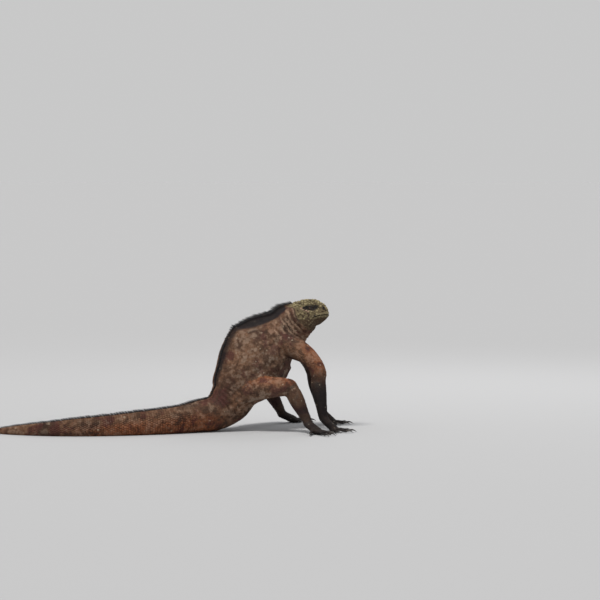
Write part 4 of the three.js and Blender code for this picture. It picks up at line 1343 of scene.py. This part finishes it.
# Crest: flat curved spines in one row from the nape to the tail's end, with small cones beside them
crestStations = [  # from, pitch, height, length of the foot
    ("jaw", 0.0054, 0.008, 0.0032), ("nape", 0.0056, 0.0145, 0.0036), ("neck", 0.006, 0.0125, 0.004),
    ("shoulders", 0.0064, 0.013, 0.0042), ("chest", 0.007, 0.0125, 0.0044), ("ribs", 0.0076, 0.009, 0.0045),
    ("loin", 0.008, 0.0065, 0.0046), ("vent", 0.0084, 0.007, 0.0048), ("tail2", 0.0092, 0.008, 0.0052),
    ("tail5", 0.0092, 0.007, 0.005), ("tail8", 0.008, 0.0045, 0.004),
]
crest = {"closer": 0.66, "thick": 0.0014, "tallest": 0.0155, "sunk": 0.003, "lean": 0.38, "before": 0.007,
         "endsBefore": 0.014}
flank = {"pitch": 0.0036, "offsets": (0.0034, 0.0066), "halves": (0.0019, 0.0016), "stray": 0.0006}


def crestSpines(marks, lengths, fine):
    pitch, height, foot = ([s[k] for s in crestStations] for k in (1, 2, 3))
    place, spots = marks[0] - crest["before"], []
    while place < lengths[-1] - crest["endsBefore"]:
        spots.append(place)
        place += np.interp(place, marks, pitch) * crest["closer"] * (0.9 + 0.2 * rng.random())
    spots = np.array(spots)
    tall = np.interp(spots, marks, height) * (0.86 + 0.3 * rng.random(len(spots)))
    t = np.interp(spots, lengths, fine)
    root, frames = bodyPoint(t, 0.0), spine.frame(t)
    along = unit(bodyPoint(t + 1e-3, 0.0) - root)
    side = level(frames["side"], along)
    out = np.cross(side, along)
    out *= np.sign((out * frames["back"]).sum(1, keepdims=True))
    for _ in range(4):  # neighbours share their stance where the back turns sharply
        for stance in (out, along):
            stance[1:-1] = unit(stance[:-2] + 2 * stance[1:-1] + stance[2:])
    sway = (rng.random(len(spots)) - 0.5) * 0.18
    up = unit(out + crest["lean"] * along + sway[:, None] * side)
    root = root - out * crest["sunk"] * 0.35
    long = np.interp(spots, marks, foot) * 0.5 + tall * 0.05
    thick = crest["thick"] * (0.6 + 0.4 * tall / crest["tallest"])
    size = np.stack([long, thick, tall + crest["sunk"] * 0.35], 1)
    place = {"tube": np.zeros(len(t), int), "t": t, "angle": np.zeros(len(t)), "flow": along}
    scatterScales("crestSpines", "blade", root, along, up, size, "crest",
                  shade=0.2 + 0.6 * rng.random(len(spots)), place=place)


def crestFlanks(marks, lengths, fine):
    hits, wide = [], []
    t = np.interp(np.arange(marks[0], marks[-2], flank["pitch"]), lengths, fine)
    for offset, half in zip(flank["offsets"], flank["halves"]):
        for side in (1, -1):
            guess = bodyPoint(t, side * offset / np.interp(t, spine.grid, spine.marks["half"][:, 0]))
            hits += [onSkin(p) for p in guess + (rng.random((len(guess), 3)) - 0.5) * flank["stray"]]
            wide += [half] * len(guess)
    roots, normals, wide = np.array([h[0] for h in hits]), np.array([h[1] for h in hits]), np.array(wide)
    place = locate(roots)
    tall = wide * (0.9 + 0.9 * bump(place["t"], at("neck"), 0.12)) * (0.8 + 0.4 * rng.random(len(roots)))
    tilt = unit(normals + 0.25 * place["flow"])
    scatterScales("crestFlanks", "keel", roots - normals * 0.0003, turned(place["flow"], tilt, 0.3), tilt,
                  np.stack([wide * 1.15, wide, tall], 1), "scales", place=place)


def makeCrest():
    fine = np.linspace(0, 1, 4000)
    steps = np.linalg.norm(np.diff(bodyPoint(fine, 0.0), axis=0), axis=1)
    lengths = np.concatenate([[0], np.cumsum(steps)])
    marks = np.interp([at(s[0]) for s in crestStations], fine, lengths)
    crestSpines(marks, lengths, fine)
    crestFlanks(marks, lengths, fine)


# Tail: whorls of keeled scales, ring after ring
tailScale = {"from": at("tailRoot") + 0.01, "pitch": 0.0056, "wide": 0.0046, "tall": 0.0011}


def ellipseRim(a, b):
    return math.pi * (3 * (a + b) - math.sqrt((3 * a + b) * (a + 3 * b)))


def makeTailScales():
    place, end = spine.lengthAt(tailScale["from"]) - 0.001, spine.lengths[-1] - 0.002
    rings = []
    while place < end:
        t = spine.placeAt(place)
        f = spine.frame(t)
        wide, up, down = f["half"][0]
        shrink = 0.55 + 0.45 * min(1, wide / 0.02)
        count = max(6, round(ellipseRim(wide, (up + down) / 2) / (tailScale["wide"] * shrink)))
        angles = 2 * math.pi * (np.arange(count) + 0.5 * (len(rings) % 2)) / count
        step = tailScale["pitch"] * shrink

        def onRing(turn):
            return bodyPoint(np.full(count, t), angles + turn)

        points, tangents = onRing(0), np.tile(f["tangent"], (count, 1))
        normal = unit(np.cross(unit(onRing(0.05) - points), tangents))
        normal *= np.sign((normal * (points - f["centre"])).sum(1, keepdims=True))
        width = np.linalg.norm(onRing(math.pi / count) - onRing(-math.pi / count), axis=1)
        tall = tailScale["tall"] * (0.5 + 0.5 * shrink)
        size = np.stack([np.full(count, step * 0.56), width * 0.56, np.full(count, tall)], 1)
        rings.append((points - normal * (skinLook["inset"] + 0.0002), unit(normal - 0.12 * f["tangent"]),
                      size, tangents))
        place += step
    roots, normals, sizes, flows = (np.concatenate([ring[k] for ring in rings]) for k in range(4))
    above = roots[:, 2] > 0.0009
    scatterScales("tailScales", "tailPlate", roots[above], flows[above], normals[above], sizes[above],
                  "scales")


def makeClaws():
    bm = bmesh.new()
    for tip, way, grown in claws:
        end = (tip + way * claw["length"] * grown) * (1, 1, 0) + (0, 0, claw["tipHeight"])
        _, place = archedTube("claw", tip - way * claw["sunk"], end,
                              lambda w: claw["radius"] * grown * (1 - 0.86 * w),
                              lambda w: claw["arch"] * np.sin(math.pi * w))
        addTo(bm, sweepMesh(12, 10, place))
    dress(newPiece("claws", bm), "claw")


crownRoots, crownWide = makeCrown()
cheekRoots, cheekWide = makeCheeks()
lipRoots = makeLips()
makeEyes()
makeNostrils()
makeCrest()
makeTailScales()
makeClaws()
print("head, crest, tail and claws done")

# Grains of body and limbs: seeds thinned to an even spacing that follows the region
grain = {"bodyGap": 0.003, "limbGap": 0.003, "pawGap": 0.0025, "headGap": 0.0034, "neckGap": 0.0026,
         "bellyMore": 0.0006, "seeds": 330000, "turn": 0.45}


def spacing(place):
    body = place["tube"] == 0
    t, turn = place["t"], np.abs(np.degrees(place["angle"]))
    headEnd = smoothStep(t, at("cheeks"), at("jaw"))
    size = np.full(len(t), grain["limbGap"])
    size[body] = grain["bodyGap"]
    size += (grain["headGap"] - size) * body * (1 - headEnd)
    onNeck = body * np.maximum(headEnd, smoothStep(turn, 115, 135))
    size += (grain["neckGap"] - size) * onNeck * (1 - smoothStep(t, at("neck"), at("chest")))
    belly = body * smoothStep(turn, 130, 160) * smoothStep(t, at("shoulders"), at("chest"))
    size += grain["bellyMore"] * belly
    size[isPart(place, "Palm", "Digit")] = grain["pawGap"]
    return size


def sampleSkin(count):
    # even random points over the skin's triangles, with normals
    mesh = skin.data
    mesh.calc_loop_triangles()
    tris = np.empty(len(mesh.loop_triangles) * 3, int)
    mesh.loop_triangles.foreach_get("vertices", tris)
    tris = tris.reshape(-1, 3)
    a, b, c = (skinCo[tris[:, k]] for k in range(3))
    area = np.linalg.norm(np.cross(b - a, c - a), axis=1) / 2
    weight = area / spacing({k: v[tris[:, 0]] for k, v in skinPlace.items()}) ** 2
    pick = rng.choice(len(tris), count, p=weight / weight.sum())
    u, v = rng.random(count), rng.random(count)
    flip = u + v > 1
    u[flip], v[flip] = 1 - u[flip], 1 - v[flip]
    co = a[pick] + (b[pick] - a[pick]) * u[:, None] + (c[pick] - a[pick]) * v[:, None]
    normal = unit(skinNormal[tris[pick]].sum(1))
    return co, normal, {k: val[tris[pick, 0]] for k, val in skinPlace.items()}


def takenByOthers(co, place):
    # where the even coat leaves room for crown, cheeks, lips, eyes, nostrils, ears and claws
    taken = np.zeros(len(co), bool)
    others = np.concatenate([crownRoots, cheekRoots, lipRoots])
    wide = np.concatenate([crownWide, cheekWide, np.full(len(lipRoots), 0.0018)])
    tree = kdtree.KDTree(len(others))
    for i, p in enumerate(others):
        tree.insert(p, i)
    tree.balance()
    for i in np.flatnonzero((place["tube"] == 0) & (place["t"] < head["end"] * 1.1)):
        _, j, d = tree.find(co[i])
        taken[i] = d < wide[j] * 0.9 + 0.0004
    rooms = [(tip, 0.0022) for tip, _, _ in claws]
    for side in (1, -1):
        rooms += [(eyeAxes(side)[0], eye["radius"] + 0.0019), (featureFrame(nostril, side)[0], 0.0052),
                  (featureFrame(ear, side)[0], ear["radius"] * 0.72)]
    for centre, room in rooms:
        taken |= np.linalg.norm(co - centre, axis=1) < room
    return taken


def coverWithGrains():
    quick = 1.0
    co, normal, place = sampleSkin(int(grain["seeds"] * quick))
    gap = spacing(place) * 0.93 / math.sqrt(quick)
    alive = (co[:, 2] > 0.0009) & ~((place["tube"] == 0) & (place["t"] > tailScale["from"]))
    kept = thin(co, gap, alive & ~takenByOthers(co, place))
    co, normal, gap = co[kept], normal[kept], gap[kept]
    place = {k: v[kept] for k, v in place.items()}
    wide = gap * 0.66 * (0.9 + 0.2 * rng.random(len(kept)))
    tall = 0.27 * gap * (0.75 + 0.5 * rng.random(len(kept)))
    nearCrest = (place["tube"] == 0) * (1 - smoothStep(np.abs(np.degrees(place["angle"])), 8, 30))
    tall *= 1 + 0.9 * nearCrest * smoothStep(place["t"], at("jaw"), at("nape"))
    size = np.stack([wide * (1.02 + 0.16 * rng.random(len(kept))), wide, tall], 1)
    scatterScales("bodyScales", "grain", co, turned(place["flow"], normal, grain["turn"]), normal, size,
                  "scales", sink=0.0002, place=place)


coverWithGrains()
print("coat done")

# Stage, light and camera: an even floor under a wide soft sun, as pale as the world behind it
stage = {"floorSize": 60.0, "floorTone": (0.411, 0.417, 0.431), "worldTone": (0.58, 0.58, 0.58),
         "sunPower": 2.9, "sunWidth": 14.0, "sunFrom": (-0.45, -0.6, 1.5), "sunTone": (1.0, 0.97, 0.92),
         "rimFrom": (0.9, 1.4, 1.5), "rimAt": (0.15, 0, 0.15), "rimPower": 7, "rimSize": 0.9}
view = {"aim": (0.132, 0.0, 0.286), "distance": 6.0, "elevation": 3.0, "width": 1.32, "sensor": 36.0}
bm = bmesh.new()
bmesh.ops.create_grid(bm, x_segments=2, y_segments=2, size=stage["floorSize"])
floor = newPiece("floor", bm)
floor.data.materials.append(newMaterial("floorPaint", lambda: {"Roughness": 0.85 + noise(2, 2) * 0.1},
                                        {"Base Color": (*stage["floorTone"], 1), "Specular IOR Level": 0.1}))

world = bpy.data.worlds.new("studio")
bpy.context.scene.world = world
world.use_nodes = True
world.node_tree.nodes["Background"].inputs[0].default_value = (*stage["worldTone"], 1)


def addToScene(name, data, place, target):
    # a light or camera that looks from the place to the target
    thing = bpy.data.objects.new(name, data)
    thing.location = place
    thing.rotation_euler = (Vector(target) - thing.location).to_track_quat("-Z", "Y").to_euler()
    bpy.context.scene.collection.objects.link(thing)
    return thing


sun = bpy.data.lights.new("sun", "SUN")
sun.energy, sun.angle, sun.color = stage["sunPower"], math.radians(stage["sunWidth"]), stage["sunTone"]
addToScene("sun", sun, stage["sunFrom"], (0, 0, 0))
rimLight = bpy.data.lights.new("rim", "AREA")
rimLight.energy, rimLight.size = stage["rimPower"], stage["rimSize"]
addToScene("rim", rimLight, stage["rimFrom"], stage["rimAt"])

aim = Vector(view["aim"]) - Vector(planCentre)
rise = math.radians(view["elevation"])
lens = bpy.data.cameras.new("photoView")
lens.sensor_width = view["sensor"]
lens.lens = view["sensor"] * view["distance"] / view["width"]
away = Vector((0, -math.cos(rise), math.sin(rise))) * view["distance"]
bpy.context.scene.camera = addToScene("photoView", lens, aim + away, aim)
bpy.context.scene.view_settings.view_transform = "Standard"
